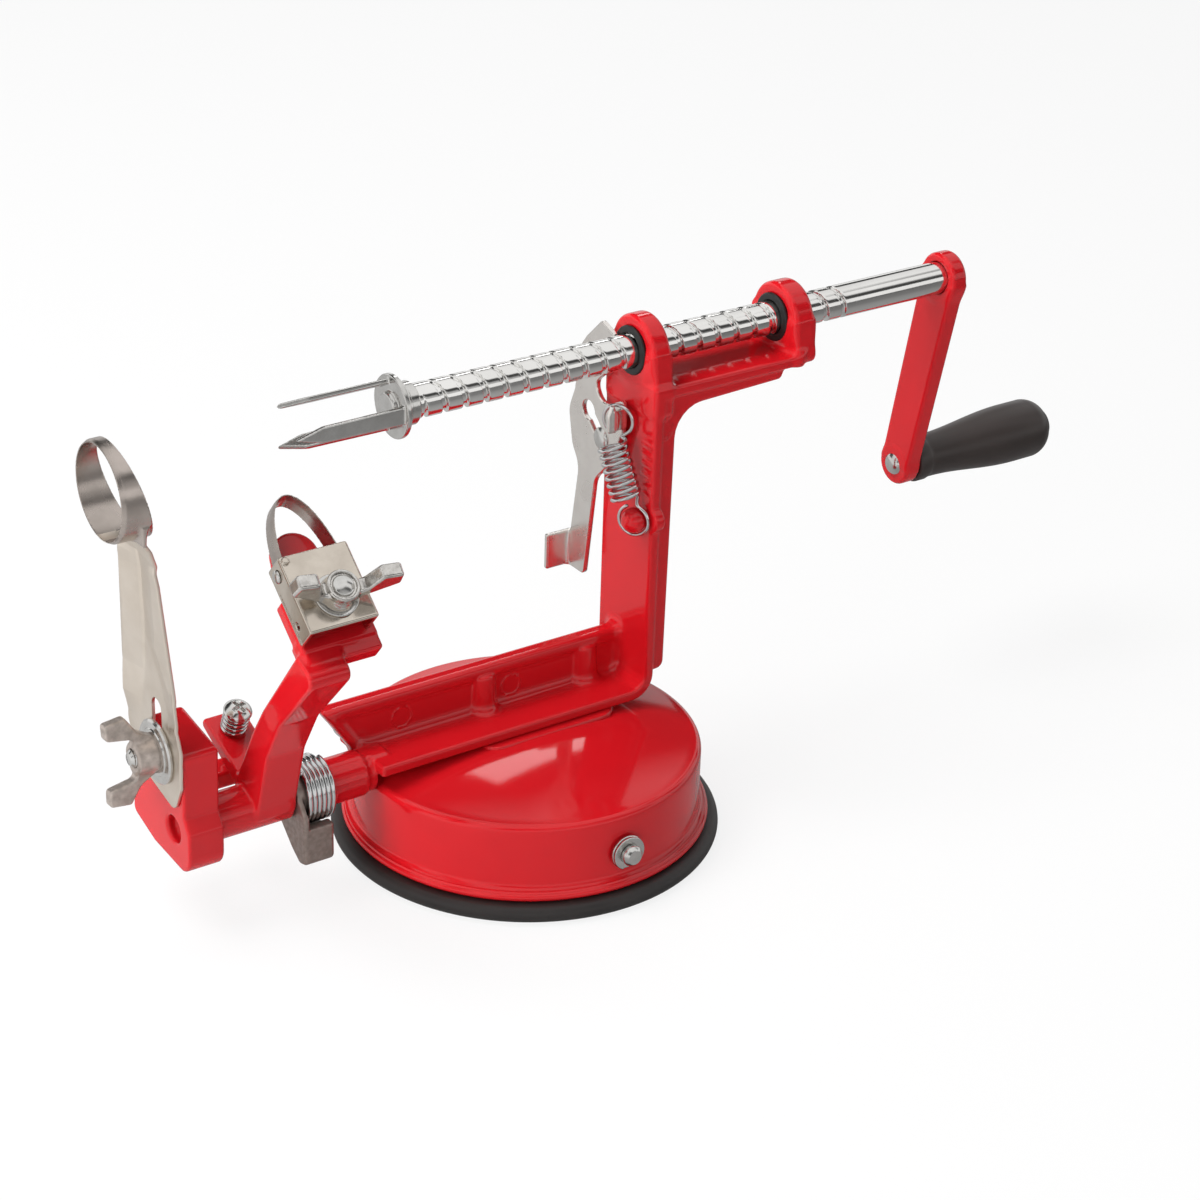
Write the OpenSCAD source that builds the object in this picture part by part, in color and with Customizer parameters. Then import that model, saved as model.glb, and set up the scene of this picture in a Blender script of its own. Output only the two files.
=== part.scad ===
// Apple peeler corer: a crank-driven screw shaft with a three-tine fork, carried by a
// cast C-frame on a lever-locked suction base, with a sprung peeling arm and a coring blade.
// Millimetres. +Z is up, +X points from the corer towards the crank. The origin is the
// centre of the suction base on the table.

/* [Base] */
// Outer diameter of the cover's upright wall
cover_d = 99.2; // [92:0.2:106]
// Height of the top edge of the cover's wall above the table
cover_wall_z = 27.2; // [25:0.1:29]
// Height of the dome's highest point above the table
cover_top_z = 31.8; // [30.5:0.1:34]
// Wall thickness of the cover
cover_t = 2; // [1.5:0.1:3]
// Radius of the rounded edge between wall and dome
cover_edge_r = 2; // [1:0.5:3]
// How far the cover's bottom rim stands out from its wall
rim_flare = 2.7; // [1.5:0.1:4]
// Thickness of the cover's bottom rim
rim_t = 2.8; // [2:0.1:4]
// How far the rubber cup stands out past the rim
cup_lip = 3.1; // [2:0.1:5]
// Height of the rubber cup's lip
cup_h = 5; // [4:0.1:6]
// Thickness of the rubber cup's sheet
cup_sheet_t = 2.5; // [2:0.1:3]
// Height of the lever axle above the table
axle_z = 16; // [15:0.1:17]
// Diameter of the lever axle
axle_d = 6; // [5:0.1:7]
// Eccentricity of the axle's cam
cam_e = 1.5; // [1:0.1:1.8]
// Diameter of the axle's cam
cam_d = 10; // [9:0.1:11]
// Length of the suction lever from its axle to its tip
suction_lever_len = 38; // [32:1:42]
// Width of the suction lever
suction_lever_w = 13; // [11:0.5:15]

/* [Frame] */
// How far the frame's centre plane lies behind the centre of the base
frame_y = 6; // [4:0.5:8]
// Width of the frame
frame_w = 24; // [22:0.5:28]
// Thickness of the frame's skin
skin_t = 3.2; // [2.5:0.1:4]
// Thickness of the rib behind the skin
rib_t = 5.2; // [3:0.1:6]
// How far the rib is set in from the frame's sides
rib_inset = 1.5; // [1:0.1:3]
// Height of the shaft's axis above the table
shaft_z = 135.5; // [125:0.5:145]
// Distance from the base's centre to the upright's front face
upright_x = 36.3; // [34:0.1:38]
// Length of the frame's foot in front of the base's centre
foot_len = 50.5; // [48:0.5:56]
// Radius of the two shaft bosses
boss_r = 10; // [9:0.1:12]
// Length of the front shaft boss
front_boss_t = 6.2; // [5:0.1:8]
// Distance from the upright's front face to the rear shaft boss
boss_span = 48.7; // [44:0.1:56]
// Length of the rear shaft boss
rear_boss_t = 7; // [5:0.1:9]
// Depth of the arm's floor below the shaft's axis
arm_drop = 8.1; // [7.5:0.1:9]
// Height of the foot's web above the foot's underside
web_h = 17; // [12:0.5:20]
// Thickness of the foot's web
web_t = 3.3; // [3:0.1:4]

/* [Shaft and crank] */
// Diameter of the drive shaft
shaft_d = 9.525; // [9:0.025:10]
// Lead of the shaft's helical groove
groove_lead = 6.35; // [5.5:0.05:7.5]
// Width of the groove
groove_w = 1.5; // [1:0.1:2]
// Depth of the groove
groove_depth = 0.9; // [0.5:0.1:1.1]
// Distance from the base's centre to the shaft's fork end
shaft_front = 39; // [37:0.5:42]
// Distance from the base's centre to the crank
crank_x = 145; // [140:1:160]
// Distance from the rear boss to the end of the groove
plain_gap = 12; // [6:1:20]
// Distance from the shaft's axis to the grip's axis
crank_throw = 66; // [60:1:75]
// Lean of the crank from straight down
crank_lean = 11; // [0:1:20]
// Width of the crank
crank_w = 14; // [13:0.5:16]
// Thickness of the crank
crank_t = 5.5; // [5:0.5:8]
// Length of the grip
grip_len = 53.5; // [45:0.5:65]
// Diameter of the grip beside the crank
grip_neck_d = 14; // [12:0.5:16]
// Diameter of the grip's thick end
grip_d = 18.4; // [16:0.1:22]
// Length of the fork's tines
tine_len = 32; // [28:1:34]
// Radius of the circle that the tines stand on
tine_r = 6.6; // [6:0.1:7]

/* [Peeling arm] */
// Distance from the base's centre to the peeling arm's middle
arm_x = 82; // [81:0.5:83]
// Width of the peeling arm
arm_w = 12; // [10:0.5:13]
// Sideways place of the arm's pivot rod
pivot_y = 3.1; // [2:0.1:5]
// Height of the arm's pivot rod
pivot_z = 30.3; // [29.5:0.1:31]
// Diameter of the pivot rod
pivot_d = 6.35; // [5.5:0.05:7]
// Outer diameter of the arm's hub tube
hub_d = 12.8; // [12:0.1:13.4]
// Width of the blade holder
holder_w = 20; // [17:0.5:21]
// Length of the blade holder
holder_len = 22; // [19:0.5:24]
// Depth of the blade holder's flanges
holder_h = 8.6; // [7.6:0.2:9.4]
// Width of the peeling blade's strip
peel_blade_w = 6; // [5:0.5:6.2]
// How far the peeling blade's arch stands out of its holder
peel_blade_out = 17; // [14:0.2:20]
// Diameter of the depth screw
depth_screw_d = 3.6; // [3:0.1:4]

/* [Corer] */
// Distance from the base's centre to the front face of the blade bracket
bracket_x = 109.4; // [108:0.2:112]
// Thickness of the blade bracket
bracket_t = 10.5; // [9:0.1:11]
// Thickness of the coring blade's plate
blade_t = 1.1; // [0.8:0.1:1.4]
// Outer diameter of the coring ring
corer_d = 26.8; // [25.6:0.1:28]
// Wall thickness of the coring ring
corer_t = 0.9; // [0.7:0.1:1.1]
// Length of the coring ring along the shaft
corer_len = 6.6; // [4.5:0.1:7]
// Distance from the base's centre to the coring ring's cutting edge
corer_x = 126; // [125:0.5:130]
// Height of the blade's bolt above the table
corer_bolt_z = 52.2; // [50:0.2:54]

/* [Release lever] */
// Thickness of the release lever
release_t = 1.2; // [1:0.1:1.5]
// Clearance between moving flat faces
flat_gap = 0.3; // [0.2:0.05:0.5]
// Radial clearance of running fits
fit = 0.05; // [0.02:0.01:0.1]

/* [Hidden] */
$fn = 96;
eps = 0.01;

// Base
cover_r = cover_d / 2;
rim_r = cover_r + rim_flare;
cup_r = rim_r + cup_lip;
dome_rise = cover_top_z - cover_wall_z;
dome_r = (cover_r * cover_r + dome_rise * dome_rise) / (2 * dome_rise);
seat_z = 32;
cover_seat_w = 20;
screw_x = [-9.6, 24.7];
screw_d = 4;
stud_plate_d = 30;
stud_plate_t = 1.6;
stud_w = 17;
stud_t = 6;
eye_gap = 0.45;
lever_gap_y = 0.4;
lever_t = 3.2;
clip_t = 0.8;

// Frame
frame_y0 = frame_y - frame_w / 2;
skin_x = upright_x + skin_t;
foot_z = seat_z + skin_t;
arm_top_z = shaft_z - arm_drop;
arm_under_z = arm_top_z - skin_t;
rear_boss_x = upright_x + boss_span;
web_top_z = seat_z + web_h;
web_y = frame_y + 3.2 - web_t / 2;
rim_w = 5.3;
peg_r = 3.6;
peg_x = upright_x - peg_r + 0.2;
peg_y = frame_y - 8.3;
peg_z = shaft_z - 47.5;
pivot_boss_x = 64.2;
pivot_reach = 13.6;

// Shaft, bushes and crank
shaft_r = shaft_d / 2;
bush_r = shaft_r + 1.5;
bush_flange_r = bush_r + 0.75;
bush_flange_t = 1.2;
groove_start = -shaft_front + 6;
groove_end = rear_boss_x + rear_boss_t + plain_gap;
crank_y = frame_y + crank_throw * sin(crank_lean);
crank_z = shaft_z - crank_throw * cos(crank_lean);
shaft_sides = 24;

// Peeling arm
pivot_r = pivot_d / 2;
hub_r = hub_d / 2;
hub_front_x = bracket_x - bracket_t - flat_gap;
hub_back_x = 76;
latch_x = hub_back_x - flat_gap;
latch_wall = 1.5;
spring_x = latch_x - latch_wall - flat_gap;
spring_wire = 1.36;
spring_turns = 6;
spring_r = 8;
tray_lean = 40;
tray_y = -31.8;
tray_z = 98.1;
tray_t = 4.5;
tray_x = 76.2;
holder_t = 1.2;
arch_t = 0.8;
bolt_u = 8;
bolt_x = tray_x - 0.7;
bolt_d = 5;
slot_half = 3.2;
washer_r = 6;
screw_lean = 23.5;
screw_y = 21;
screw_z = 41.5;
lug_t = 3.2;
ledge_t = 5;

// Corer
blade_x = bracket_x + blade_t;
corer_bolt_y = 7.8;
corer_bolt_d = 5;
corer_r = corer_d / 2;
corer_y = frame_y - 3.5;
corer_z = shaft_z - 2.7;
ring_slant = 15;
neck_z = 73.8;
neck_top_z = corer_z - corer_r - 2;

// Release lever
release_x = upright_x - bush_flange_t - flat_gap;
stud_y = frame_y + 9;
stud_z = shaft_z - 29.5;
hook_y = frame_y - 0.8;
hook_z = shaft_z - 16.2;
hook_out = 6.5;
hook_w = 1.6;

// ---- Shared shapes ----

function unit(v) = v / norm(v);
function turn(v, a) = [v[0] * cos(a) - v[1] * sin(a), v[0] * sin(a) + v[1] * cos(a)];

// Points of an arc round c from angle a0 to a1
function arc(c, r, a0, a1, n = 8) =
    [for (i = [0:n]) let (a = a0 + (a1 - a0) * i / n) c + r * [cos(a), sin(a)]];

// One outline corner [x, y, radius], rounded between its neighbours a and c
function corner(a, b, c, n = 6) =
    let (p = [b[0], b[1]],
         u = unit([a[0], a[1]] - p),
         v = unit([c[0], c[1]] - p),
         r = len(b) > 2 ? b[2] : 0,
         half = acos(max(-1, min(1, u * v))) / 2,
         m = p + unit(u + v) * r / sin(half),
         s = p + u * r / tan(half) - m,
         side = sign(u[0] * v[1] - u[1] * v[0]))
    r == 0 ? [p] : [for (i = [0:n]) m + turn(s, -side * (180 - 2 * half) * i / n)];

// A closed outline of [x, y, radius] corners, as plain points
function rounded(q) =
    [for (i = [0:len(q) - 1])
        each corner(q[(i + len(q) - 1) % len(q)], q[i], q[(i + 1) % len(q)])];

// Extrudes an outline of [x, z] points along Y, from y0
module along_y(y0, w) {
    translate([0, y0 + w, 0]) rotate([90, 0, 0]) linear_extrude(w) children();
}

// Extrudes an outline of [y, z] points along X, from x0
module along_x(x0, w) {
    translate([x0, 0, 0]) rotate([90, 0, 90]) linear_extrude(w) children();
}

// A cylinder along X that starts at x0, round the line (y, z)
module rod_x(x0, w, r, y, z) {
    translate([x0, y, z]) rotate([0, 90, 0]) cylinder(r = r, h = w);
}

// A cylinder along Y that starts at y0, round the line (x, z)
module rod_y(y0, w, r, x, z) {
    translate([x, y0, z]) rotate([-90, 0, 0]) cylinder(r = r, h = w);
}

function flat_to(v, t) = unit(v - (v * t) * t);
function tangents(p) =
    let (n = len(p) - 1) [for (i = [0:n]) unit(p[min(i + 1, n)] - p[max(i - 1, 0)])];
function carried(t, v0) =
    [for (i = 0, v = flat_to(v0, t[0]); i < len(t);
          i = i + 1, v = i < len(t) ? flat_to(v, t[i]) : v) v];

// A round wire of radius r along a path, closed at both ends
module wire(path, r, start, sides = 6) {
    t = tangents(path);
    u = carried(t, start);
    n = len(path) - 1;
    points = [for (i = [0:n]) for (j = [0:sides - 1])
        path[i] + r * (cos(360 * j / sides) * u[i] + sin(360 * j / sides) * cross(t[i], u[i]))];
    skin = [for (i = [0:n - 1]) for (j = [0:sides - 1])
        let (a = sides * i + j, b = sides * i + (j + 1) % sides)
        each [[a, a + sides, b], [b, a + sides, b + sides]]];
    front = [for (j = [1:sides - 2]) [0, j, j + 1]];
    back = [for (j = [1:sides - 2]) [sides * n, sides * n + j + 1, sides * n + j]];
    polyhedron(points = points, faces = concat(skin, front, back));
}

// A wing nut that stands on z = 0, with both wings spread along X and leaning up to wing_h
module wing_nut(bore_d, hub_r, hub_h, span, wing_t, wing_h) {
    half = span / 2;
    difference() {
        union() {
            cylinder(r1 = hub_r, r2 = hub_r - 0.8, h = hub_h);
            for (s = [-1, 1]) translate([0, wing_t / 2, 0]) rotate([90, 0, 0])
                linear_extrude(wing_t) polygon(rounded([
                    [s * bore_d / 2, 0.6], [s * (hub_r + 0.6), 0.6, 1],
                    [s * half, wing_h - 5.6, 2.2], [s * (half - 1.8), wing_h, 2.2],
                    [s * (hub_r - 0.4), hub_h + 0.6, 1.5], [s * bore_d / 2, hub_h - 0.6]]));
        }
        translate([0, 0, -1]) cylinder(d = bore_d, h = wing_h + 2);
    }
}

// ---- Suction base ----

module suction_cup() {
    bead_r = cup_h / 2;
    color([0.07, 0.07, 0.075]) rotate_extrude() union() {
        translate([cup_r - bead_r, bead_r]) circle(r = bead_r);
        translate([cover_r - 4.6, 0]) square([cup_r - bead_r - cover_r + 4.6, cup_h]);
        square([cover_r - 4, cup_sheet_t]);
    }
}

function dome_z(r) = cover_top_z - dome_r + sqrt(dome_r * dome_r - r * r);
function dome_line(drop, r_end) =
    [for (i = [0:10]) let (r = r_end * i / 10) [r, dome_z(r) - drop]];

module base_cover() {
    edge_in = cover_r - cover_edge_r;
    wall_in = cover_r - cover_t;
    color([0.78, 0.05, 0.09]) difference() {
        union() {
            rotate_extrude() polygon(concat(
                dome_line(0, edge_in),
                arc([edge_in, dome_z(edge_in) - cover_edge_r], cover_edge_r, 84, 0, 6),
                [[cover_r, cup_h + rim_t + 0.8], [rim_r - 0.6, cup_h + rim_t]],
                arc([rim_r - 0.9, cup_h + rim_t - 0.9], 0.9, 70, 0, 4),
                [[rim_r, cup_h], [wall_in, cup_h], [wall_in, dome_z(wall_in) - cover_t]],
                [for (p = [9:-1:0]) dome_line(cover_t, wall_in)[p]]));
            intersection() {
                translate([screw_x[0] - 8, frame_y - cover_seat_w / 2, seat_z - 4.5])
                    cube([screw_x[1] - screw_x[0] + 16, cover_seat_w, 4.5]);
                cylinder(r = cover_r - cover_t, h = seat_z);
            }
        }
        rod_y(-cover_r - 1, cover_d + 2, axle_d / 2 + fit, 0, axle_z);
        for (x = screw_x) translate([x, web_y + web_t / 2, 0])
            cylinder(d = screw_d + 0.4, h = seat_z + 1);
    }
}

module cup_stud() {
    plate_z = cup_sheet_t;
    eye_z = axle_z - cam_e;
    eye_h = cam_d + 2 * eye_gap;
    top_z = eye_z + eye_h / 2 + 2.2;
    color([0.7, 0.7, 0.72]) difference() {
        union() {
            translate([0, 0, plate_z]) cylinder(d = stud_plate_d, h = stud_plate_t);
            translate([-stud_w / 2, -stud_t / 2, plate_z])
                cube([stud_w, stud_t, top_z - plate_z]);
        }
        translate([0, stud_t, eye_z]) rotate([90, 0, 0]) linear_extrude(2 * stud_t)
            square([cam_d + 2 * cam_e + 2 * eye_gap, eye_h], center = true);
    }
}

module suction_axle() {
    front = cover_r + 5;
    back = cover_r + lever_gap_y + lever_t;
    color([0.72, 0.72, 0.74]) difference() {
        union() {
            rod_y(-front, front + back, axle_d / 2, 0, axle_z);
            rod_y(-stud_t / 2 - 1, stud_t + 2, cam_d / 2, 0, axle_z - cam_e);
        }
        difference() {
            rod_y(-cover_r - 2.4, 1, axle_d, 0, axle_z);
            rod_y(-cover_r - 3, 2.2, axle_d / 2 - 0.7, 0, axle_z);
        }
    }
}

module suction_lever() {
    y0 = cover_r + lever_gap_y;
    len = suction_lever_len;
    w = suction_lever_w;
    color([0.62, 0.62, 0.63]) difference() {
        along_y(y0, lever_t) union() {
            translate([0, axle_z]) circle(r = w / 2);
            polygon(rounded([
                [0, axle_z - w / 2], [0, axle_z + w / 2],
                [-len, axle_z + w / 2, 4], [-len, axle_z - w / 2, 4]]));
        }
        rod_y(y0 - 1, lever_t + 2, axle_d / 2 + eps, 0, axle_z);
    }
}

module axle_clip() {
    color([0.72, 0.72, 0.74]) difference() {
        rod_y(-cover_r - 1.4 - clip_t, clip_t, axle_d / 2 + 2, 0, axle_z);
        rod_y(-cover_r - 4, 6, axle_d / 2 - 0.65, 0, axle_z);
        translate([-1.7, -cover_r - 4, axle_z - axle_d - 2]) cube([3.4, 6, axle_d + 2]);
    }
}

module base_screws() {
    head_z = seat_z - 4.5 - 2.2;
    color([0.7, 0.7, 0.72]) for (x = screw_x) translate([x, web_y + web_t / 2, 0]) {
        difference() {
            translate([0, 0, head_z]) cylinder(d = 7.6, h = 2.2);
            translate([0, 0, head_z - eps]) for (a = [0, 90]) rotate([0, 0, a])
                translate([-2.4, -0.5, 0]) cube([4.8, 1, 1.2]);
        }
        translate([0, 0, head_z + 2]) cylinder(d = screw_d, h = 14);
    }
}

// ---- Frame ----

// Side view of the skin: foot, upright and arm floor in one bent strip
module skin_outline() {
    x1 = rear_boss_x + 2;
    polygon(rounded([
        [-foot_len, seat_z], [skin_x, seat_z, 7], [skin_x, arm_under_z],
        [x1, arm_under_z], [x1, arm_top_z], [upright_x, arm_top_z],
        [upright_x, foot_z, 4], [-foot_len, foot_z]]));
}

// Side view of the rib that stiffens the upright and the arm
module rib_outline() {
    x0 = skin_x - 1;
    x1 = skin_x + rib_t;
    x2 = rear_boss_x - 4;
    polygon(rounded([
        [x0, seat_z + 7], [x1 - 0.6, seat_z + 7, 2.5], [x1 + 0.3, arm_under_z - 4.6, 9],
        [x2, arm_under_z - 3.4, 1.5], [x2 + 2, arm_under_z + 1], [x0, arm_under_z + 1]]));
}

// A boss for the shaft, which widens below the shaft to the frame's full width
module shaft_boss(x0, t, foot_z0) {
    half = frame_w / 2;
    along_x(x0, t) union() {
        translate([frame_y, shaft_z]) circle(r = boss_r);
        polygon(rounded([
            [frame_y - boss_r + 0.3, shaft_z + 1], [frame_y - half, shaft_z - arm_drop, 8],
            [frame_y - half, foot_z0, 2.2], [frame_y + half, foot_z0, 2.2],
            [frame_y + half, shaft_z - arm_drop, 8], [frame_y + boss_r - 0.3, shaft_z + 1]]));
    }
}

// The foot's upright web, with its rim, its screw bosses and its leaning front end
module foot_web() {
    lean = 10.5;
    x0 = -foot_len;
    along_y(web_y, web_t) polygon([
        [x0, seat_z + 1], [x0 - lean, web_top_z], [upright_x + 1, web_top_z],
        [upright_x + 1, seat_z + 1]]);
    along_y(web_y - 1, rim_w) polygon(rounded([
        [x0 - lean + 3.5, web_top_z - 3.4], [x0 - lean, web_top_z, 1],
        [upright_x + 1, web_top_z], [upright_x + 1, web_top_z - 3.4]]));
    along_y(web_y - 1, rim_w) polygon([
        [x0 + 3.2, seat_z + 1], [x0, seat_z + 1], [x0 - lean, web_top_z - 0.5],
        [x0 - lean + 4, web_top_z - 1]]);
    for (x = screw_x) translate([x, web_y + web_t / 2, seat_z + 1])
        cylinder(r1 = 4.4, r2 = 3.7, h = web_h - 3);
}

module frame() {
    color([0.78, 0.05, 0.09]) difference() {
        union() {
            along_y(frame_y0, frame_w) skin_outline();
            along_y(frame_y0 + rib_inset, frame_w - 2 * rib_inset) rib_outline();
            shaft_boss(upright_x, front_boss_t, arm_under_z - 6);
            shaft_boss(rear_boss_x, rear_boss_t, arm_under_z);
            foot_web();
            rod_x(-pivot_boss_x, 8, 6.5, pivot_y, pivot_z);
            rod_x(-pivot_boss_x + 7, 8, 5.8, pivot_y, pivot_z);
            rod_x(peg_x, peg_r + 1, peg_r - 1, peg_y, peg_z);
            translate([peg_x, peg_y, peg_z]) sphere(r = peg_r);
            rod_x(upright_x, skin_t + 0.5, 3.2, frame_y0 + 0.8, peg_z);
            rod_x(release_x + flat_gap / 3, 3, 4, stud_y, stud_z);
        }
        rod_x(upright_x - 1, front_boss_t + 2, bush_r + fit, frame_y, shaft_z);
        rod_x(rear_boss_x - 1, rear_boss_t + 2, bush_r + fit, frame_y, shaft_z);
        rod_x(-pivot_boss_x - 1, pivot_reach + 1.2, pivot_r + fit, pivot_y, pivot_z);
        cylinder(r = cover_r + flat_gap, h = seat_z - 0.2);
        rod_x(release_x - 1, upright_x - release_x + skin_t + 1, 1.5 + fit, stud_y, stud_z);
        for (x = screw_x) translate([x, web_y + web_t / 2, seat_z - 1])
            cylinder(d = screw_d + 2 * fit, h = 11);
    }
}

module pivot_rod() {
    color([0.72, 0.72, 0.74])
        rod_x(-bracket_x + 4, bracket_x - 4 - pivot_boss_x + pivot_reach, pivot_r, pivot_y, pivot_z);
}

// ---- Coring blade and its bracket ----

module blade_bracket() {
    color([0.78, 0.05, 0.09]) difference() {
        union() {
            along_x(-bracket_x, bracket_t) polygon(rounded([
                [pivot_y - 7.4, 55.5, 1.5], [pivot_y - 6.4, 36.2, 2], [pivot_y - 9.4, 31, 3],
                [pivot_y - 8.6, 21.5, 2.5], [pivot_y - 4.5, 19.4, 2], [pivot_y + 11.7, 20.5, 3],
                [pivot_y + 24, 24.4, 2], [pivot_y + 22.5, 33.5, 2], [pivot_y + 16, 41, 4],
                [pivot_y + 14.5, 58.8, 2.5]]));
            translate([-bracket_x + bracket_t - 2, screw_y - 1.5, pivot_z - 3.3])
                cube([bracket_x - bracket_t - arm_x + arm_w / 2 + 2, 8, ledge_t]);
        }
        rod_x(-bracket_x - 1, bracket_t + 2, pivot_r + fit, pivot_y, pivot_z);
        rod_x(-bracket_x - 1, 4, 4, pivot_y, pivot_z);
        rod_x(-bracket_x - 1, bracket_t + 2, corer_bolt_d / 2 + 0.1, corer_bolt_y, corer_bolt_z);
        rod_x(-bracket_x + bracket_t - 3, 4, 4.7, corer_bolt_y, corer_bolt_z);
    }
}

// Side view of the blade's bent sheet, from the bolted plate up to the coring ring
module blade_profile() {
    top_z = corer_z - corer_r + 1.5;
    x0 = -blade_x;
    x1 = x0 - 4;
    x2 = -corer_x + corer_len - 0.4;
    polygon([
        [x0, 30], [x0, neck_z], [x1, neck_top_z - 7], [x2, top_z], [x2, top_z + 5],
        [x2 + blade_t, top_z + 5], [x2 + blade_t, top_z], [x1 + blade_t, neck_top_z - 7],
        [x0 + blade_t, neck_z], [x0 + blade_t, 30]]);
}

module corer_slicer_blade() {
    color([0.75, 0.74, 0.72]) difference() {
        union() {
            intersection() {
                along_y(frame_y - 30, 60) blade_profile();
                along_x(-corer_x - 1, 30) polygon(rounded([
                    [-4.2, 46, 2], [-0.5, 38, 2], [14, 41.5, 4], [25.4, 53, 5],
                    [24.6, neck_z + 2, 20], [corer_y + 15.6, neck_top_z - 14, 6],
                    [corer_y + 7, neck_top_z - 1, 3], [corer_y + 6, corer_z - corer_r / 2],
                    [corer_y - 10, corer_z - corer_r / 2], [corer_y - 7.5, neck_top_z - 8, 5],
                    [-4.6, neck_z + 2, 20]]));
            }
            difference() {
                rod_x(-corer_x, corer_len + 3, corer_r, corer_y, corer_z);
                translate([-corer_x + 3.4, corer_y - 20, corer_z + corer_r])
                    rotate([0, -ring_slant, 0]) translate([0, 0, -50]) cube([30, 40, 60]);
            }
        }
        rod_x(-corer_x - 1, corer_len + 14, corer_r - corer_t, corer_y, corer_z);
        along_x(-blade_x - 4, blade_t + 6) union() {
            translate([corer_bolt_y - 2.65, corer_bolt_z]) square([5.3, 13]);
            translate([corer_bolt_y, corer_bolt_z]) circle(d = 5.3);
            translate([corer_bolt_y, corer_bolt_z + 13]) circle(d = 5.3);
        }
    }
}

module corer_bolt() {
    head_x = -bracket_x + bracket_t - 3 + fit;
    color([0.72, 0.72, 0.74]) {
        rod_x(head_x, 2.8, 4.4, corer_bolt_y, corer_bolt_z);
        rod_x(-bracket_x - 9.6, 9.6 + bracket_t - 2.9, corer_bolt_d / 2, corer_bolt_y,
            corer_bolt_z);
    }
}

module corer_washer() {
    color([0.7, 0.7, 0.71]) difference() {
        rod_x(-blade_x - 1.3, 1.3, 9, corer_bolt_y, corer_bolt_z);
        rod_x(-blade_x - 3, 5, corer_bolt_d / 2 + 0.15, corer_bolt_y, corer_bolt_z);
    }
}

module corer_wing_nut() {
    color([0.55, 0.55, 0.55]) translate([-blade_x - 1.3 - fit, corer_bolt_y, corer_bolt_z])
        rotate([0, -90, 0]) rotate([0, 0, 4])
        wing_nut(corer_bolt_d + 2 * fit, 5.2, 6, 25, 3.4, 15.4);
}

// ---- Peeling arm ----

// Moves from the tray's own frame (X across, Y along the tray, Z out of it) to its place
module at_tray() {
    translate([-tray_x, tray_y, tray_z]) rotate([tray_lean, 0, 0]) children();
}

module peel_arm() {
    x0 = -arm_x - arm_w / 2;
    under = -holder_h;
    color([0.78, 0.05, 0.09]) difference() {
        union() {
            rod_x(-hub_front_x, hub_front_x - hub_back_x, hub_r, pivot_y, pivot_z);
            along_x(x0, arm_w) polygon(rounded([
                [pivot_y - 6.2, pivot_z - 1], [-9.5, 51.4, 8], [-17.2, 64.8, 8],
                [-36.5, 86.2, 3], [-26.5, 89.5], [-7.9, 65.3, 8], [-1.4, 55.2, 8],
                [pivot_y + 5, pivot_z + 6.5]]));
            along_x(x0, arm_w) polygon(rounded([
                [pivot_y + 3, pivot_z + 2], [pivot_y + 2, pivot_z + 8],
                [pivot_y + 5, pivot_z + 9.4, 1], [26.2, 46.8, 1.4], [27.4, 44, 1.4],
                [pivot_y + 5, pivot_z + 4]]));
            at_tray() {
                translate([-9.8, -5.5, under - tray_t - 1.8]) cube([21.8, 8, tray_t + 1.6]);
                translate([-9.8, -1.5, under - tray_t - 0.2]) cube([21.8, 15, tray_t]);
                translate([-6.5, 12, under - tray_t - 0.2])
                    cube([13, holder_len + 3 - 12, tray_t]);
                translate([0, holder_len + 3, under - tray_t - 0.2])
                    cylinder(r = 6.4, h = tray_t);
            }
        }
        rod_x(-hub_front_x - 1, hub_front_x - hub_back_x + 2, pivot_r + fit, pivot_y, pivot_z);
        at_depth_screw() translate([0, 0, -6]) cylinder(d = depth_screw_d + 2 * fit, h = 12);
        at_tray() translate([tray_x - bolt_x, bolt_u, under - tray_t - 1])
            cylinder(d = bolt_d + 2 * fit, h = tray_t + 2);
        at_tray() translate([tray_x - bolt_x, bolt_u, under - tray_t - 1])
            cylinder(r = 4.6, h = 3.4);
    }
}

// The holder is an inverted channel: its top face is the plane z = 0 of the tray's frame
module blade_holder() {
    w = holder_w;
    color([0.8, 0.78, 0.72]) at_tray() difference() {
        translate([-w / 2, 0, -holder_h]) cube([w, holder_len, holder_h]);
        translate([-w / 2 + holder_t, -1, -holder_h - 1])
            cube([w - 2 * holder_t, holder_len + 2, holder_h - holder_t + 1]);
        for (du = [-slot_half, slot_half])
            translate([tray_x - bolt_x, bolt_u + du, -holder_h - 1])
                cylinder(d = bolt_d + 0.4, h = holder_h + 2);
        translate([tray_x - bolt_x - bolt_d / 2 - 0.2, bolt_u - slot_half, -holder_h - 1])
            cube([bolt_d + 0.4, 2 * slot_half, holder_h + 2]);
        translate([-w / 2 - 1, holder_len - 3.5, -holder_h / 2]) rotate([0, 90, 0])
            cylinder(d = 2.4 + 2 * fit, h = w + 2);
    }
}

// A strip bent into a long arch, standing on edge between the holder's flanges
module peel_blade() {
    r = holder_w / 2 - holder_t - 0.1;
    u0 = holder_len - 6.5;
    reach = holder_len + peel_blade_out - u0;
    function arch(a, b) = [for (i = [0:24]) let (t = 180 * i / 24) [a * cos(t), u0 + b * sin(t)]];
    low = -holder_h + (holder_h - holder_t - peel_blade_w) / 2;
    color([0.82, 0.81, 0.79]) at_tray() difference() {
        translate([0, 0, low]) linear_extrude(peel_blade_w) polygon(concat(arch(r, reach),
            [for (i = [24:-1:0]) arch(r - arch_t, reach - arch_t)[i]]));
        translate([-holder_w, holder_len - 3.5, -holder_h / 2]) rotate([0, 90, 0])
            cylinder(d = 2.4 + 2 * fit, h = 2 * holder_w);
    }
}

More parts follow.
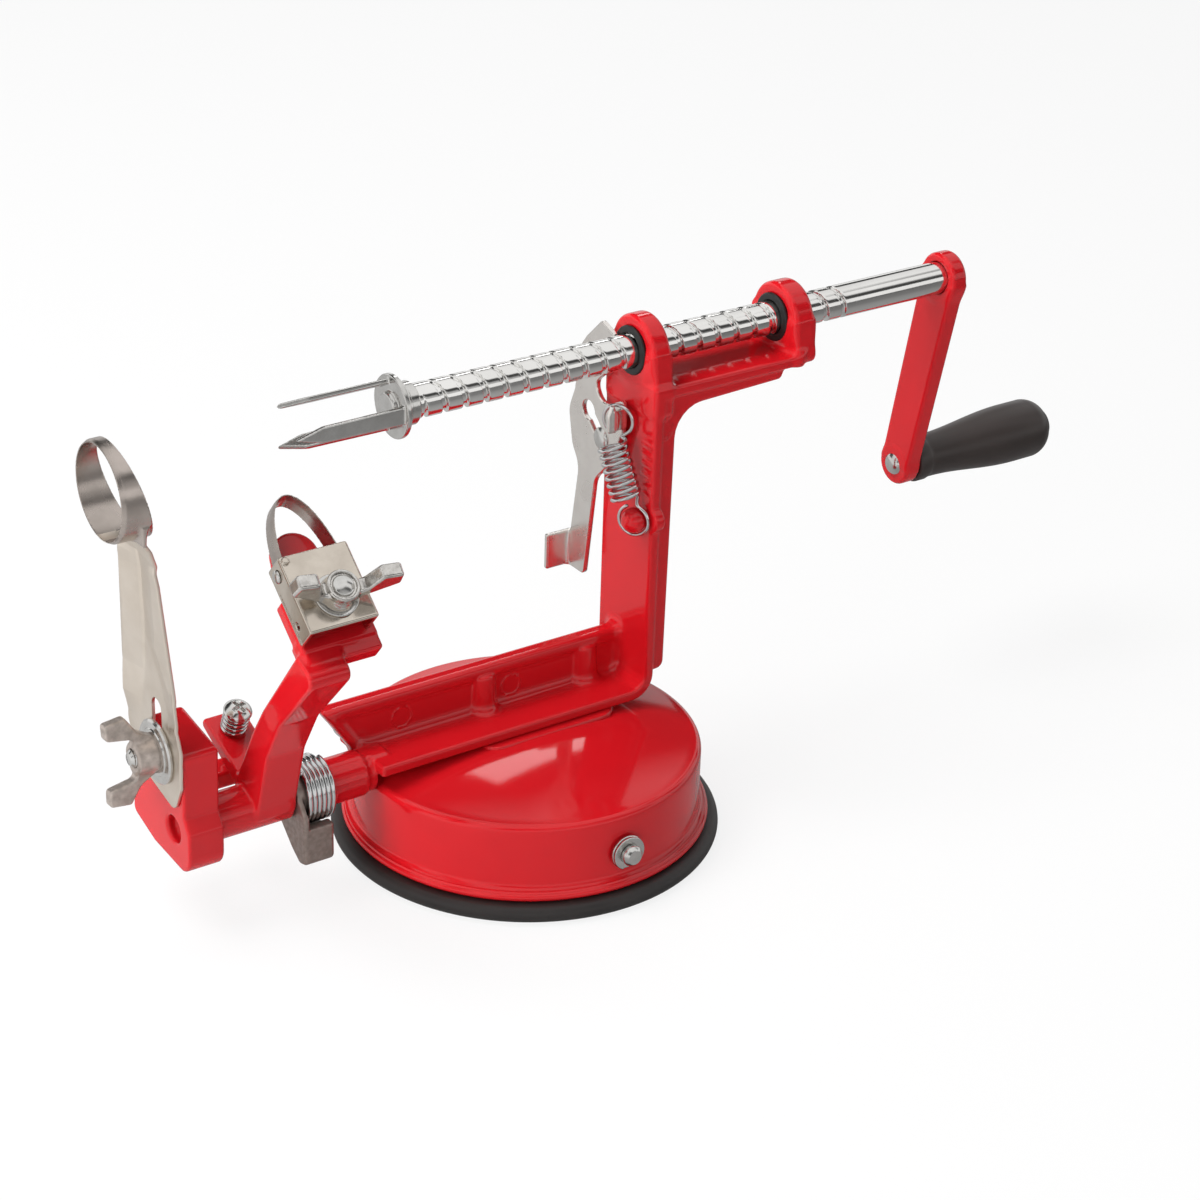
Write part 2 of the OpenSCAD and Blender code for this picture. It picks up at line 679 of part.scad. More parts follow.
module holder_rivets() {
    inner = holder_w / 2 - holder_t - arch_t - 1.1;
    color([0.75, 0.75, 0.74]) at_tray() for (s = [-1, 1]) scale([s, 1, 1])
        translate([inner, holder_len - 3.5, -holder_h / 2]) rotate([0, 90, 0]) {
            cylinder(d = 2.4, h = holder_w / 2 - inner + 0.2);
            translate([0, 0, holder_w / 2 - inner + 0.1]) cylinder(d = 3.6, h = 0.6);
            cylinder(d = 3.4, h = 0.7);
        }
}

module holder_bolt() {
    z0 = -holder_h - tray_t - 0.2;
    color([0.74, 0.74, 0.75]) at_tray() translate([tray_x - bolt_x, bolt_u, z0]) {
        cylinder(r = 4.3, h = 2.3);
        cylinder(d = bolt_d, h = holder_h + tray_t + 6.6);
    }
}

module holder_washer() {
    color([0.75, 0.75, 0.74]) at_tray() translate([tray_x - bolt_x, bolt_u, 0]) difference() {
        cylinder(r = washer_r, h = 0.8);
        translate([0, 0, -1]) cylinder(d = bolt_d + 0.3, h = 3);
    }
}

module holder_wing_nut() {
    color([0.6, 0.6, 0.6]) at_tray() translate([tray_x - bolt_x, bolt_u, 0.8 + fit])
        rotate([0, 0, -7]) wing_nut(bolt_d + 2 * fit, 4.6, 4.4, 30, 3.8, 12);
}

// The depth screw's own frame: its axis is Z, and z = 0 is the middle of the arm's lug
module at_depth_screw() {
    translate([-arm_x, screw_y, screw_z + 1]) rotate([screw_lean, 0, 0]) children();
}

module depth_screw() {
    tip = (screw_z + 1 - (pivot_z - 3.3 + ledge_t)) / cos(screw_lean) - 1.6;
    color([0.72, 0.72, 0.74]) at_depth_screw() {
        translate([0, 0, -tip]) cylinder(d = depth_screw_d, h = tip + 10);
        difference() {
            translate([0, 0, 9.5]) cylinder(r1 = 3.8, r2 = 2.8, h = 2.4);
            for (a = [0, 90]) rotate([0, 0, a]) translate([-2, -0.4, 10.8])
                cube([4, 0.8, 1.4]);
        }
    }
}

module depth_screw_spring() {
    turns = 4;
    z0 = lug_t / 2 + 0.9;
    z1 = 9;
    path = [for (i = [0:14 * turns]) let (a = 360 * i / 14)
        [2.65 * cos(a), 2.65 * sin(a), z0 + (z1 - z0) * i / (14 * turns)]];
    color([0.72, 0.72, 0.74]) at_depth_screw() wire(path, 0.4, [1, 0, 0]);
}

// Torsion spring round the latch's sleeve, with one leg to the frame and one to the arm
module arm_spring() {
    x0 = -spring_x + spring_wire / 2 + 0.1;
    x1 = -pivot_boss_x - spring_wire / 2 - 0.3;
    steps = 16 * spring_turns;
    coil = [for (i = [0:steps]) let (a = 100 - 360 * i / 16)
        [x0 + (x1 - x0) * i / steps, pivot_y + spring_r * cos(a), pivot_z + spring_r * sin(a)]];
    color([0.7, 0.7, 0.7]) wire(coil, spring_wire / 2, [1, 0, 0], 8);
}

module arm_latch() {
    sleeve_end = pivot_boss_x + flat_gap;
    sleeve_r = spring_r - spring_wire / 2 - 0.6;
    w = 9.2;
    color([0.5, 0.5, 0.5]) difference() {
        union() {
            rod_x(-latch_x, latch_x - sleeve_end, sleeve_r, pivot_y, pivot_z);
            difference() {
                along_x(-latch_x, w) polygon(rounded([
                    [pivot_y + 6.4, pivot_z + 2, 4], [pivot_y - 4, pivot_z + 7, 4],
                    [pivot_y - 10.6, 27, 2], [pivot_y - 10.6, 13, 1.5],
                    [pivot_y - 7, 12, 1.5], [pivot_y - 2.5, 15, 4], [pivot_y + 6, 23, 3]]));
                rod_x(-spring_x - flat_gap, w, spring_r + spring_wire / 2 + 0.35,
                    pivot_y, pivot_z);
            }
        }
        rod_x(-latch_x - 1, latch_x - sleeve_end + 2, pivot_r + fit, pivot_y, pivot_z);
    }
}

// ---- Shaft, fork and crank ----

module bush(x0, t) {
    color([0.06, 0.06, 0.065]) difference() {
        union() {
            rod_x(x0 - bush_flange_t, bush_flange_t, bush_flange_r, frame_y, shaft_z);
            rod_x(x0 - eps, t + eps, bush_r, frame_y, shaft_z);
        }
        rod_x(x0 - bush_flange_t - 1, t + bush_flange_t + 2, shaft_r + fit, frame_y, shaft_z);
    }
}

module front_bush() {
    bush(upright_x, front_boss_t);
}

module rear_bush() {
    bush(rear_boss_x, rear_boss_t);
}

// One closed skin: plain ends, and between them a square-cut helical groove. Row 0 runs
// along the edge where a land begins, and rows 1 to 3 along its end and the groove's floor.
module drive_shaft() {
    n = shaft_sides;
    turns = floor((groove_end - groove_start) / groove_lead) - 1;
    last = n * turns;
    land = groove_lead - groove_w;
    low = shaft_r - groove_depth;
    function spot(x, r, j) =
        [x, frame_y + r * cos(360 * j / n), shaft_z + r * sin(360 * j / n)];
    function row(dx, r, count) =
        [for (i = [0:count]) spot(groove_start + groove_lead * i / n + dx, r, i)];
    function p0(i) = i;
    function p1(i) = last + n + 1 + i;
    function p2(i) = p1(i) + last + 1;
    function p3(i) = p2(i) + last + 1;
    function front(j) = p3(last) + 1 + j % n;
    function back(j) = front(0) + n + j % n;
    function strip(a, b, c, d) = [[a, b, c], [b, d, c]];
    points = concat(row(0, shaft_r, last + n), row(land, shaft_r, last), row(land, low, last),
        row(groove_lead, low, last),
        [for (j = [0:n - 1]) spot(-shaft_front, shaft_r, j)],
        [for (j = [0:n - 1]) spot(crank_x + crank_t - 1, shaft_r, j)]);
    turned = [for (i = [0:last - 1]) each concat(
        strip(p0(i), p1(i), p0(i + 1), p1(i + 1)),
        strip(p1(i), p2(i), p1(i + 1), p2(i + 1)),
        strip(p2(i), p3(i), p2(i + 1), p3(i + 1)),
        strip(p3(i), p0(i + n), p3(i + 1), p0(i + n + 1)))];
    plain_front = concat(
        [for (j = [0:n - 2]) each strip(front(j), p0(j), front(j + 1), p0(j + 1))],
        [for (q = [[p0(n - 1), p0(n)], [p0(n), p1(0)], [p1(0), p0(0)], [p0(0), front(0)]])
            [front(n - 1), q[0], q[1]]]);
    plain_back = concat(
        [for (j = [1:n - 1])
            each strip(p0(last + j), back(j), p0(last + j + 1), back(j + 1))],
        [for (q = [[p0(last), p1(last)], [p1(last), p0(last + n)], [p0(last + n), back(0)],
            [back(0), back(1)]]) [p0(last + 1), q[0], q[1]]]);
    groove_ends = [[p1(0), p0(n), p3(0)], [p1(0), p3(0), p2(0)],
        [p1(last), p3(last), p0(last + n)], [p1(last), p2(last), p3(last)]];
    caps = [for (j = [1:n - 2])
        each [[front(0), front(j), front(j + 1)], [back(0), back(j + 1), back(j)]]];
    color([0.82, 0.82, 0.83]) polyhedron(points = points,
        faces = concat(turned, plain_front, plain_back, groove_ends, caps));
}

module fork() {
    plate_t = 1.5;
    x0 = -shaft_front - plate_t;
    color([0.66, 0.66, 0.67]) {
        rod_x(x0, plate_t, tine_r + 2.2, frame_y, shaft_z);
        for (k = [0:2]) translate([x0, frame_y, shaft_z]) rotate([120 * k + 90, 0, 0])
            translate([0, 0, tine_r - 0.7]) linear_extrude(1.4) polygon([
                [0.5, -2.4], [0.5, 2.4], [-tine_len + 8, 2.2], [-tine_len, 0],
                [-tine_len + 8, -2.2]]);
    }
}

module shaft_collar() {
    color([0.7, 0.7, 0.71]) difference() {
        rod_x(-shaft_front + fit, 4.6, shaft_r + 1.7, frame_y, shaft_z);
        rod_x(-shaft_front - 1, 7, shaft_r + fit, frame_y, shaft_z);
    }
}

module crank_arm() {
    r = crank_w / 2 + 0.4;
    len = crank_throw;
    color([0.78, 0.05, 0.09]) difference() {
        union() {
            rod_x(crank_x, crank_t, r, frame_y, shaft_z);
            rod_x(crank_x, crank_t, crank_w / 2 - 0.5, crank_y, crank_z);
            translate([0, frame_y, shaft_z]) rotate([crank_lean, 0, 0])
                along_x(crank_x, crank_t) polygon([
                    [-crank_w / 2, 0], [crank_w / 2, 0], [crank_w / 2 - 0.9, -len],
                    [-crank_w / 2 + 0.9, -len]]);
        }
        rod_x(crank_x - 1, crank_t, shaft_r + fit, frame_y, shaft_z);
        rod_x(crank_x - 1, crank_t + 2, 2.5 + fit, crank_y, crank_z);
    }
}

// Pin of the grip: riveted over in front of the crank, with a head inside the grip's end
module grip_pin() {
    color([0.75, 0.75, 0.76]) {
        rod_x(crank_x - 1.6, 1.6, 3.4, crank_y, crank_z);
        rod_x(crank_x - 0.5, crank_t + grip_len - 5, 2.5, crank_y, crank_z);
        rod_x(crank_x + crank_t + grip_len - 6, 1.6, 4, crank_y, crank_z);
    }
}

module crank_grip() {
    x0 = crank_x + crank_t + flat_gap;
    r0 = grip_neck_d / 2;
    r1 = grip_d / 2;
    len = grip_len;
    color([0.06, 0.06, 0.065]) translate([x0, crank_y, crank_z]) rotate([0, 90, 0])
        rotate_extrude() polygon(concat(
            [[2.5 + fit, 0], [r0 - 1, 0], [r0, 1], [r0, 4]],
            [for (i = [0:8]) let (t = i / 8)
                [r0 - 0.4 + (r1 - r0 + 0.4) * (1 - cos(180 * t)) / 2, 6 + (len - 20) * t]],
            arc([r1 - 7, len - 7], 7, 0, 90, 8),
            [[0, len], [0, len - 3.5], [4.3, len - 3.5], [4.3, len - 6.6],
                [2.5 + fit, len - 6.6]]));
}

// ---- Release lever ----

module release_lever() {
    tab_z = shaft_z - 75;
    color([0.8, 0.79, 0.78]) difference() {
        union() {
            along_x(release_x - release_t, release_t) polygon(rounded([
                [frame_y + 4.6, shaft_z + 3.4], [frame_y + 10.8, shaft_z + 5.4],
                [frame_y + 17.8, shaft_z - 1.5, 1], [frame_y + 21.2, shaft_z - 6, 2],
                [frame_y + 22.8, shaft_z - 19], [frame_y + 25.6, shaft_z - 26, 6],
                [frame_y + 23.4, shaft_z - 37, 6], [frame_y + 19.8, shaft_z - 41, 5],
                [frame_y + 25, tab_z, 1.5], [frame_y + 16, tab_z, 1.5],
                [frame_y + 11.8, shaft_z - 43, 5], [frame_y + 2.4, shaft_z - 33, 4],
                [hook_y + 1, shaft_z - 26, 2], [hook_y, hook_z - 8], [hook_y, hook_z + 2, 1],
                [frame_y + 9, shaft_z - 19.5, 3], [frame_y + 13.3, shaft_z - 14, 2],
                [frame_y + 2.4, shaft_z - 4.2, 1]]));
            // Hook that holds the spring's upper loop
            translate([release_x - hook_out, hook_y - 0.6, hook_z - 7])
                cube([hook_out, hook_w, 7]);
            translate([release_x - hook_out, hook_y - 0.6, hook_z - 7]) cube([1.2, hook_w, 9]);
            // Thumb tab, bent forwards
            translate([release_x - 9, frame_y + 23.7, tab_z]) cube([9, release_t, 11]);
        }
        rod_x(release_x - release_t - 1, release_t + 2, shaft_r + flat_gap, frame_y, shaft_z);
        along_x(release_x - release_t - 1, release_t + 2) translate([stud_y, stud_z])
            rotate(43) union() {
                circle(r = 2 + fit);
                translate([9, 0]) circle(r = 2.6);
                polygon([[0, -2 - fit], [9, -2.6], [9, 2.6], [0, 2 + fit]]);
            }
    }
}

module lever_stud() {
    color([0.75, 0.75, 0.76]) {
        rod_x(release_x - release_t - 1.6, 1.5, 3.4, stud_y, stud_z);
        rod_x(release_x - release_t - 0.5, release_t + 0.5, 2, stud_y, stud_z);
        rod_x(release_x - eps, upright_x - release_x + skin_t - 1, 1.5, stud_y, stud_z);
    }
}

// Extension spring from the lever's hook down to the frame's peg, with a round loop each end
module lever_spring() {
    coil_r = 4.05;
    wire_r = 0.55;
    loop_r = peg_r + 0.9;
    turns = 8;
    per = 14;
    upper = [release_x - 2.8, hook_y + 0.2, hook_z - loop_r + wire_r + 0.3];
    lower = [peg_x, peg_y, peg_z];
    top = upper + [-3.4, -2.2, -loop_r - 0.9];
    low = lower + [-2, 0.8, loop_r + 2];
    axis = unit(low - top);
    side = flat_to([1, 0, 0], axis);
    across = cross(axis, side);
    loop_side = [0.5, -0.87, 0];
    function loop(c, a0, a1) = [for (i = [0:16]) let (a = a0 + (a1 - a0) * i / 16)
        c + loop_r * (cos(a) * [0, 0, 1] + sin(a) * loop_side)];
    coil = [for (i = [0:turns * per]) let (a = 360 * i / per)
        top + (low - top) * i / (turns * per) + coil_r * (cos(a) * side + sin(a) * across)];
    color([0.78, 0.77, 0.76])
        wire(concat(loop(upper, -150, 180), coil, loop(lower, 0, 330)), wire_r, axis);
}

suction_cup();
base_cover();
cup_stud();
suction_axle();
suction_lever();
axle_clip();
base_screws();
frame();
pivot_rod();
blade_bracket();
corer_slicer_blade();
corer_bolt();
corer_washer();
corer_wing_nut();
peel_arm();
blade_holder();
peel_blade();
holder_rivets();
holder_bolt();
holder_washer();
holder_wing_nut();
depth_screw();
depth_screw_spring();
arm_spring();
arm_latch();
front_bush();
rear_bush();
drive_shaft();
fork();
crank_arm();
shaft_collar();
grip_pin();
crank_grip();
release_lever();
lever_stud();
lever_spring();
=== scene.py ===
"""Hand-cranked apple peeler corer: castings, blades, springs and finishes.

Every length in the classes is in millimetres, and every mesh is handed over in metres.
+Z is up and +X points from the corer towards the crank.
"""
import logging
import math
from dataclasses import dataclass, field
from enum import Enum
from typing import Callable, Iterable, Sequence

import bmesh
import bpy
import numpy as np
from mathutils import Matrix, Vector


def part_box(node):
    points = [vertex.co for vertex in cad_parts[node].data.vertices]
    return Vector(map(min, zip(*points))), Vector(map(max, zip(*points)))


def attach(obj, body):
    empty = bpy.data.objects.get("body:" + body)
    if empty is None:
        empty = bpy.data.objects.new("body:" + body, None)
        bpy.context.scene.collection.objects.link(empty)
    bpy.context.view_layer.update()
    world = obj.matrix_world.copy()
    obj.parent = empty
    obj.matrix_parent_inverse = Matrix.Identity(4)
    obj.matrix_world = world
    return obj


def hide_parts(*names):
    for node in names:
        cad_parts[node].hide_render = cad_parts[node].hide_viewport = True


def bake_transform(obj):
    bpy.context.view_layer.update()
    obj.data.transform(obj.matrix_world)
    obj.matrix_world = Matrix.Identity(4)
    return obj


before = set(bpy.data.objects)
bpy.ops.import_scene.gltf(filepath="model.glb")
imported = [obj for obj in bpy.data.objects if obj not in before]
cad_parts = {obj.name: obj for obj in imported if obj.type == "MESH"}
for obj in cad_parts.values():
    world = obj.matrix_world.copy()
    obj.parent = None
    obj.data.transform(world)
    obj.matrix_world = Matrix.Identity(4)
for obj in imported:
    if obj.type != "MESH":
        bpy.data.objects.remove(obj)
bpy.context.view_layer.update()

MM = 0.001
LOG = logging.getLogger("peeler")

Field = Callable[[np.ndarray], np.ndarray]
Outline = Sequence[Sequence[float]]
Feed = dict[str | int, object]

# How far outside its box a local solid is still worked out, and what counts as nothing.
REACH = 5.0
TINY = 1e-6
# Halvings of the search grid, its margin in cells, its keep distance and the slope's probe.
SKIN_DEPTH = 3
SKIN_MARGIN = 1.37
SKIN_REACH = 0.95
SKIN_PROBE = 0.2
# Share of a wire's radius and of its length past the end, for each row of a rounded end.
WIRE_CAPS = ((0.94, 0.34), (0.8, 0.6), (0.45, 0.9))
# The clamping bolts' thread.
THREAD_R = 2.5
THREAD_PITCH = 0.8
# Noise detail of the finishes, and the noise levels between which their tones change.
PATCH_DETAIL = 4.0
PATCH_EDGES = (0.36, 0.64)
ROUGH_EDGES = (0.3, 0.7)
GRAIN_DETAIL = 3.0


# ---- Solid shapes given by distance ----


class Axis(Enum):
    """The axis that a prism or a rod runs along."""

    X = 0
    Y = 1
    Z = 2

    @property
    def across(self) -> tuple[int, int]:
        """The two other axes, in the order in which an outline gives them."""
        return {0: (1, 2), 1: (0, 2), 2: (0, 1)}[self.value]


def soft_min(a: np.ndarray, b: np.ndarray, fillet: float) -> np.ndarray:
    """Smaller of two distances, with a rounded crossover.

    Args:
        a: First distances.
        b: Second distances.
        fillet: Width of the crossover, 0 for none.

    Returns:
        The blended distances.
    """
    if fillet <= 0.0:
        return np.minimum(a, b)
    lap = np.maximum(fillet - np.abs(a - b), 0.0) / fillet
    return np.minimum(a, b) - lap * lap * fillet * 0.25


@dataclass(frozen=True)
class Solid:
    """A shape given by its signed distance, with a box round it."""

    dist: Field
    lo: np.ndarray
    hi: np.ndarray

    def joined(self, other: "Solid", fillet: float = 0.0) -> "Solid":
        """This shape and another as one, with a fillet where they meet."""
        return Solid(
            lambda p: soft_min(self.dist(p), other.dist(p), fillet),
            np.minimum(self.lo, other.lo),
            np.maximum(self.hi, other.hi),
        )

    def less(self, other: "Solid", ease: float = 0.0) -> "Solid":
        """This shape with another cut away, and the cut's edge eased."""
        return Solid(
            lambda p: -soft_min(-self.dist(p), other.dist(p), ease), self.lo, self.hi
        )

    def bored(
        self, axis: Axis, start: float, end: float, radius: float,
        centre: tuple[float, float], ease: float = 0.0,
    ) -> "Solid":
        """This shape with a round hole along an axis, whose rim is eased."""
        return self.less(rod(axis, start, end, radius, centre, 0.0), ease)

    def within(self, other: "Solid", ease: float = 0.0) -> "Solid":
        """What this shape and another have in common."""
        return Solid(
            lambda p: -soft_min(-self.dist(p), -other.dist(p), ease),
            np.maximum(self.lo, other.lo),
            np.minimum(self.hi, other.hi),
        )

    def placed(self, place: Matrix) -> "Solid":
        """This shape moved by a rigid transform.

        Args:
            place: Transform in millimetres.

        Returns:
            The moved shape.
        """
        turn = np.array(place.to_3x3())
        shift = np.array(place.translation)
        ends = np.array(
            [[(self.lo, self.hi)[b >> k & 1][k] for k in range(3)] for b in range(8)]
        )
        ends = ends @ turn.T + shift
        return Solid(
            lambda p: self.dist((p - shift) @ turn), ends.min(axis=0), ends.max(axis=0)
        )


def local(dist: Field, lo: Iterable[float], hi: Iterable[float]) -> Solid:
    """A solid whose distance is worked out only near its own box.

    Args:
        dist: Signed distance of the shape.
        lo: Lowest corner of its box.
        hi: Highest corner of its box.

    Returns:
        The solid.
    """
    low, high = np.array(lo, float), np.array(hi, float)

    def near(p: np.ndarray) -> np.ndarray:
        """Exact distance near the box, and the distance to the box elsewhere.

        Args:
            p: Points, one a row.

        Returns:
            The distances.
        """
        out = np.linalg.norm(np.maximum(np.maximum(low - p, p - high), 0.0), axis=1)
        close = out < REACH
        if close.any():
            out[close] = dist(p[close])
        return out

    return Solid(near, low, high)


def outline_distance(p: np.ndarray, q: np.ndarray) -> np.ndarray:
    """Signed distance of points to a closed outline.

    Args:
        p: Points, one a row.
        q: Corners of the outline.

    Returns:
        Distances, negative inside.
    """
    best = np.full(len(p), 1e18)
    inside = np.zeros(len(p), bool)
    for a, b in zip(q, np.roll(q, -1, axis=0)):
        edge, rel = b - a, p - a
        t = np.clip((rel @ edge) / max(edge @ edge, 1e-12), 0.0, 1.0)
        off = rel - t[:, None] * edge
        best = np.minimum(best, (off * off).sum(axis=1))
        if a[1] != b[1]:
            cross = (a[1] > p[:, 1]) != (b[1] > p[:, 1])
            inside ^= cross & (rel[:, 0] < edge[0] * rel[:, 1] / edge[1])
    return np.where(inside, -1.0, 1.0) * np.sqrt(best)


def capped(side: np.ndarray, end: np.ndarray, edge: float) -> np.ndarray:
    """Distance of an extrusion from its side and end distances, with eased edges.

    Args:
        side: Distance to the sides.
        end: Distance to the nearer end.
        edge: Radius of its edges.

    Returns:
        The distances.
    """
    u, v = side + edge, end + edge
    outer = np.hypot(np.maximum(u, 0.0), np.maximum(v, 0.0))
    return np.minimum(np.maximum(u, v), 0.0) + outer - edge


def prism(axis: Axis, start: float, end: float, q: Outline, edge: float = 0.8) -> Solid:
    """An outline pushed along an axis.

    Args:
        axis: Direction of the push.
        start: Where it begins on the axis.
        end: Where it ends on the axis.
        q: Corners of the outline, in the order of the two other axes.
        edge: Radius of the edges round both ends.

    Returns:
        The solid.
    """
    pts = np.array([c[:2] for c in q], float)
    i, j = axis.across
    k = axis.value
    mid, half = (start + end) / 2, (end - start) / 2
    lo, hi = np.zeros(3), np.zeros(3)
    lo[[i, j]], hi[[i, j]] = pts.min(axis=0), pts.max(axis=0)
    lo[k], hi[k] = start, end
    return local(
        lambda p: capped(
            outline_distance(p[:, [i, j]], pts), np.abs(p[:, k] - mid) - half, edge
        ),
        lo,
        hi,
    )


def rod(
    axis: Axis,
    start: float,
    end: float,
    radius: float,
    centre: tuple[float, float],
    edge: float = 0.6,
    end_radius: float | None = None,
) -> Solid:
    """A round bar, or a cone, along an axis.

    Args:
        axis: Direction of the bar.
        start: Where it begins on the axis.
        end: Where it ends on the axis.
        radius: Radius at the start.
        centre: Place of its axis on the two other axes.
        edge: Radius of the edges round both ends.
        end_radius: Radius at the end, if another.

    Returns:
        The solid.
    """
    i, j = axis.across
    k = axis.value
    tip = radius if end_radius is None else end_radius
    mid, half = (start + end) / 2, (end - start) / 2
    slope = (tip - radius) / (end - start)
    lean = 1.0 / math.hypot(1.0, slope)
    lo, hi = np.zeros(3), np.zeros(3)
    big = max(radius, tip)
    lo[[i, j]], hi[[i, j]] = np.array(centre) - big, np.array(centre) + big
    lo[k], hi[k] = start, end

    def dist(p: np.ndarray) -> np.ndarray:
        """Signed distance to the bar.

        Args:
            p: Points, one a row.

        Returns:
            The distances.
        """
        ring = np.hypot(p[:, i] - centre[0], p[:, j] - centre[1])
        side = (ring - radius - slope * (p[:, k] - start)) * lean
        return capped(side, np.abs(p[:, k] - mid) - half, edge)

    return local(dist, lo, hi)


def ball(centre: Sequence[float], radius: float) -> Solid:
    """A sphere."""
    c = np.array(centre, float)
    return local(lambda p: np.linalg.norm(p - c, axis=1) - radius, c - radius, c + radius)


def block(lo: Sequence[float], hi: Sequence[float], edge: float = 0.8) -> Solid:
    """A box with eased edges, given by its lowest and highest corners.

    Args:
        lo: Lowest corner.
        hi: Highest corner.
        edge: Radius of its edges.

    Returns:
        The solid.
    """
    low, high = np.array(lo, float), np.array(hi, float)
    mid, half = (low + high) / 2, (high - low) / 2

    def dist(p: np.ndarray) -> np.ndarray:
        """Signed distance to the box."""
        q = np.abs(p - mid) - half + edge
        return (
            np.linalg.norm(np.maximum(q, 0.0), axis=1)
            + np.minimum(q.max(axis=1), 0.0)
            - edge
        )

    return local(dist, low, high)


def disc_ring(
    axis: Axis, at: float, centre: tuple[float, float], radius: float, wire: float
) -> Solid:
    """A thin round ring that lies across an axis.

    Args:
        axis: Axis of the ring.
        at: Its place on the axis.
        centre: Its place on the two other axes.
        radius: Radius of the ring.
        wire: Radius of its section.

    Returns:
        The solid.
    """
    i, j = axis.across
    k = axis.value
    lo, hi = np.zeros(3), np.zeros(3)
    reach = radius + wire
    lo[[i, j]], hi[[i, j]] = np.array(centre) - reach, np.array(centre) + reach
    lo[k], hi[k] = at - wire, at + wire
    return local(
        lambda p: np.hypot(
            np.hypot(p[:, i] - centre[0], p[:, j] - centre[1]) - radius, p[:, k] - at
        )
        - wire,
        lo,
        hi,
    )


CORNERS = np.array([[c >> k & 1 for k in range(3)] for c in range(8)])
EDGES = [(a, a | 1 << k) for k in range(3) for a in range(8) if not a >> k & 1]


def skin(solid: Solid, cell: float) -> tuple[np.ndarray, np.ndarray, np.ndarray]:
    """Wraps a solid in a mesh of four-sided faces whose points lie on its surface.

    Args:
        solid: The shape.
        cell: Size of a face, in millimetres.

    Returns:
        Points, faces and the surface's direction at each point.
    """
    low = solid.lo - cell * SKIN_MARGIN
    size = cell * 2**SKIN_DEPTH
    counts = np.ceil((solid.hi + cell * SKIN_MARGIN - low) / size).astype(int)
    idx = np.stack(np.meshgrid(*map(np.arange, counts), indexing="ij"), -1).reshape(-1, 3)
    for _ in range(SKIN_DEPTH):
        d = solid.dist(low + (idx + 0.5) * size)
        idx = idx[np.abs(d) < size * SKIN_REACH]
        idx = (idx[:, None, :] * 2 + CORNERS[None]).reshape(-1, 3)
        size /= 2
    extent = counts * 2**SKIN_DEPTH + 2
    stride = np.array([extent[1] * extent[2], extent[2], 1])
    keys = (idx @ stride)[:, None] + (CORNERS @ stride)[None]
    nodes, back = np.unique(keys, return_inverse=True)
    back = back.reshape(keys.shape)
    grid = np.stack(np.unravel_index(nodes, extent), -1)
    value = solid.dist(low + grid * cell)
    values = value[back]
    live = (values.min(axis=1) < 0.0) & (values.max(axis=1) >= 0.0)
    idx, values = idx[live], values[live]
    total, hits = np.zeros((len(idx), 3)), np.zeros(len(idx))
    for a, b in EDGES:
        va, vb = values[:, a], values[:, b]
        cross = (va < 0.0) != (vb < 0.0)
        t = np.where(cross, va / np.where(cross, va - vb, 1.0), 0.0)
        spot = CORNERS[a] + t[:, None] * (CORNERS[b] - CORNERS[a])
        total += np.where(cross[:, None], spot, 0.0)
        hits += cross
    points = low + (idx + total / hits[:, None]) * cell
    ids = idx @ stride
    order = np.argsort(ids)
    ranked = ids[order]
    faces = []
    for k in range(3):
        i, j = [n for n in range(3) if n != k]
        va, vb = values[:, 0], values[:, 1 << k]
        own = np.nonzero((va < 0.0) != (vb < 0.0))[0]
        base = ids[own]
        ring = np.stack([base, base - stride[i], base - stride[i] - stride[j], base - stride[j]], 1)
        place = np.clip(np.searchsorted(ranked, ring), 0, len(ranked) - 1)
        whole = (ranked[place] == ring).all(axis=1)
        quad = order[place]
        flip = (va[own] < 0.0) == (k == 1)
        quad[flip] = quad[flip][:, ::-1]
        faces.append(quad[whole])
    tips = np.array([[1, 1, 1], [1, -1, -1], [-1, 1, -1], [-1, -1, 1]], float)
    step = cell * SKIN_PROBE
    for _ in range(2):
        probe = np.stack([solid.dist(points + t * step) for t in tips], 1)
        slope = probe @ tips / (4.0 * step)
        square = np.maximum((slope * slope).sum(axis=1), TINY)
        move = slope * (probe.mean(axis=1) / square)[:, None]
        length = np.linalg.norm(move, axis=1)[:, None]
        points = points - move * np.minimum(1.0, 0.5 * cell / np.maximum(length, 1e-9))
    normals = slope / np.sqrt(square)[:, None]
    return points, np.concatenate(faces), normals


# ---- Outlines and paths ----


def unit(v: np.ndarray) -> np.ndarray:
    """A vector of length one."""
    return v / np.linalg.norm(v)


def rounded(q: Outline, steps: int = 6) -> list[tuple[float, float]]:
    """Plain points of an outline whose corners may carry a radius as a third number.

    Args:
        q: Corners (a, b) or (a, b, radius).
        steps: Points in a rounded corner, less one.

    Returns:
        The outline's points.
    """
    out: list[tuple[float, float]] = []
    for n, corner in enumerate(q):
        p = np.array(corner[:2], float)
        r = corner[2] if len(corner) > 2 else 0.0
        if r == 0.0:
            out.append((p[0], p[1]))
            continue
        u = unit(np.array(q[n - 1][:2]) - p)
        v = unit(np.array(q[(n + 1) % len(q)][:2]) - p)
        half = math.acos(float(np.clip(u @ v, -1.0, 1.0))) / 2
        mid = p + unit(u + v) * r / math.sin(half)
        s = p + u * r / math.tan(half) - mid
        side = math.copysign(1.0, u[0] * v[1] - u[1] * v[0])
        for i in range(steps + 1):
            a = -side * (math.pi - 2 * half) * i / steps
            out.append(
                (
                    mid[0] + s[0] * math.cos(a) - s[1] * math.sin(a),
                    mid[1] + s[0] * math.sin(a) + s[1] * math.cos(a),
                )
            )
    return out


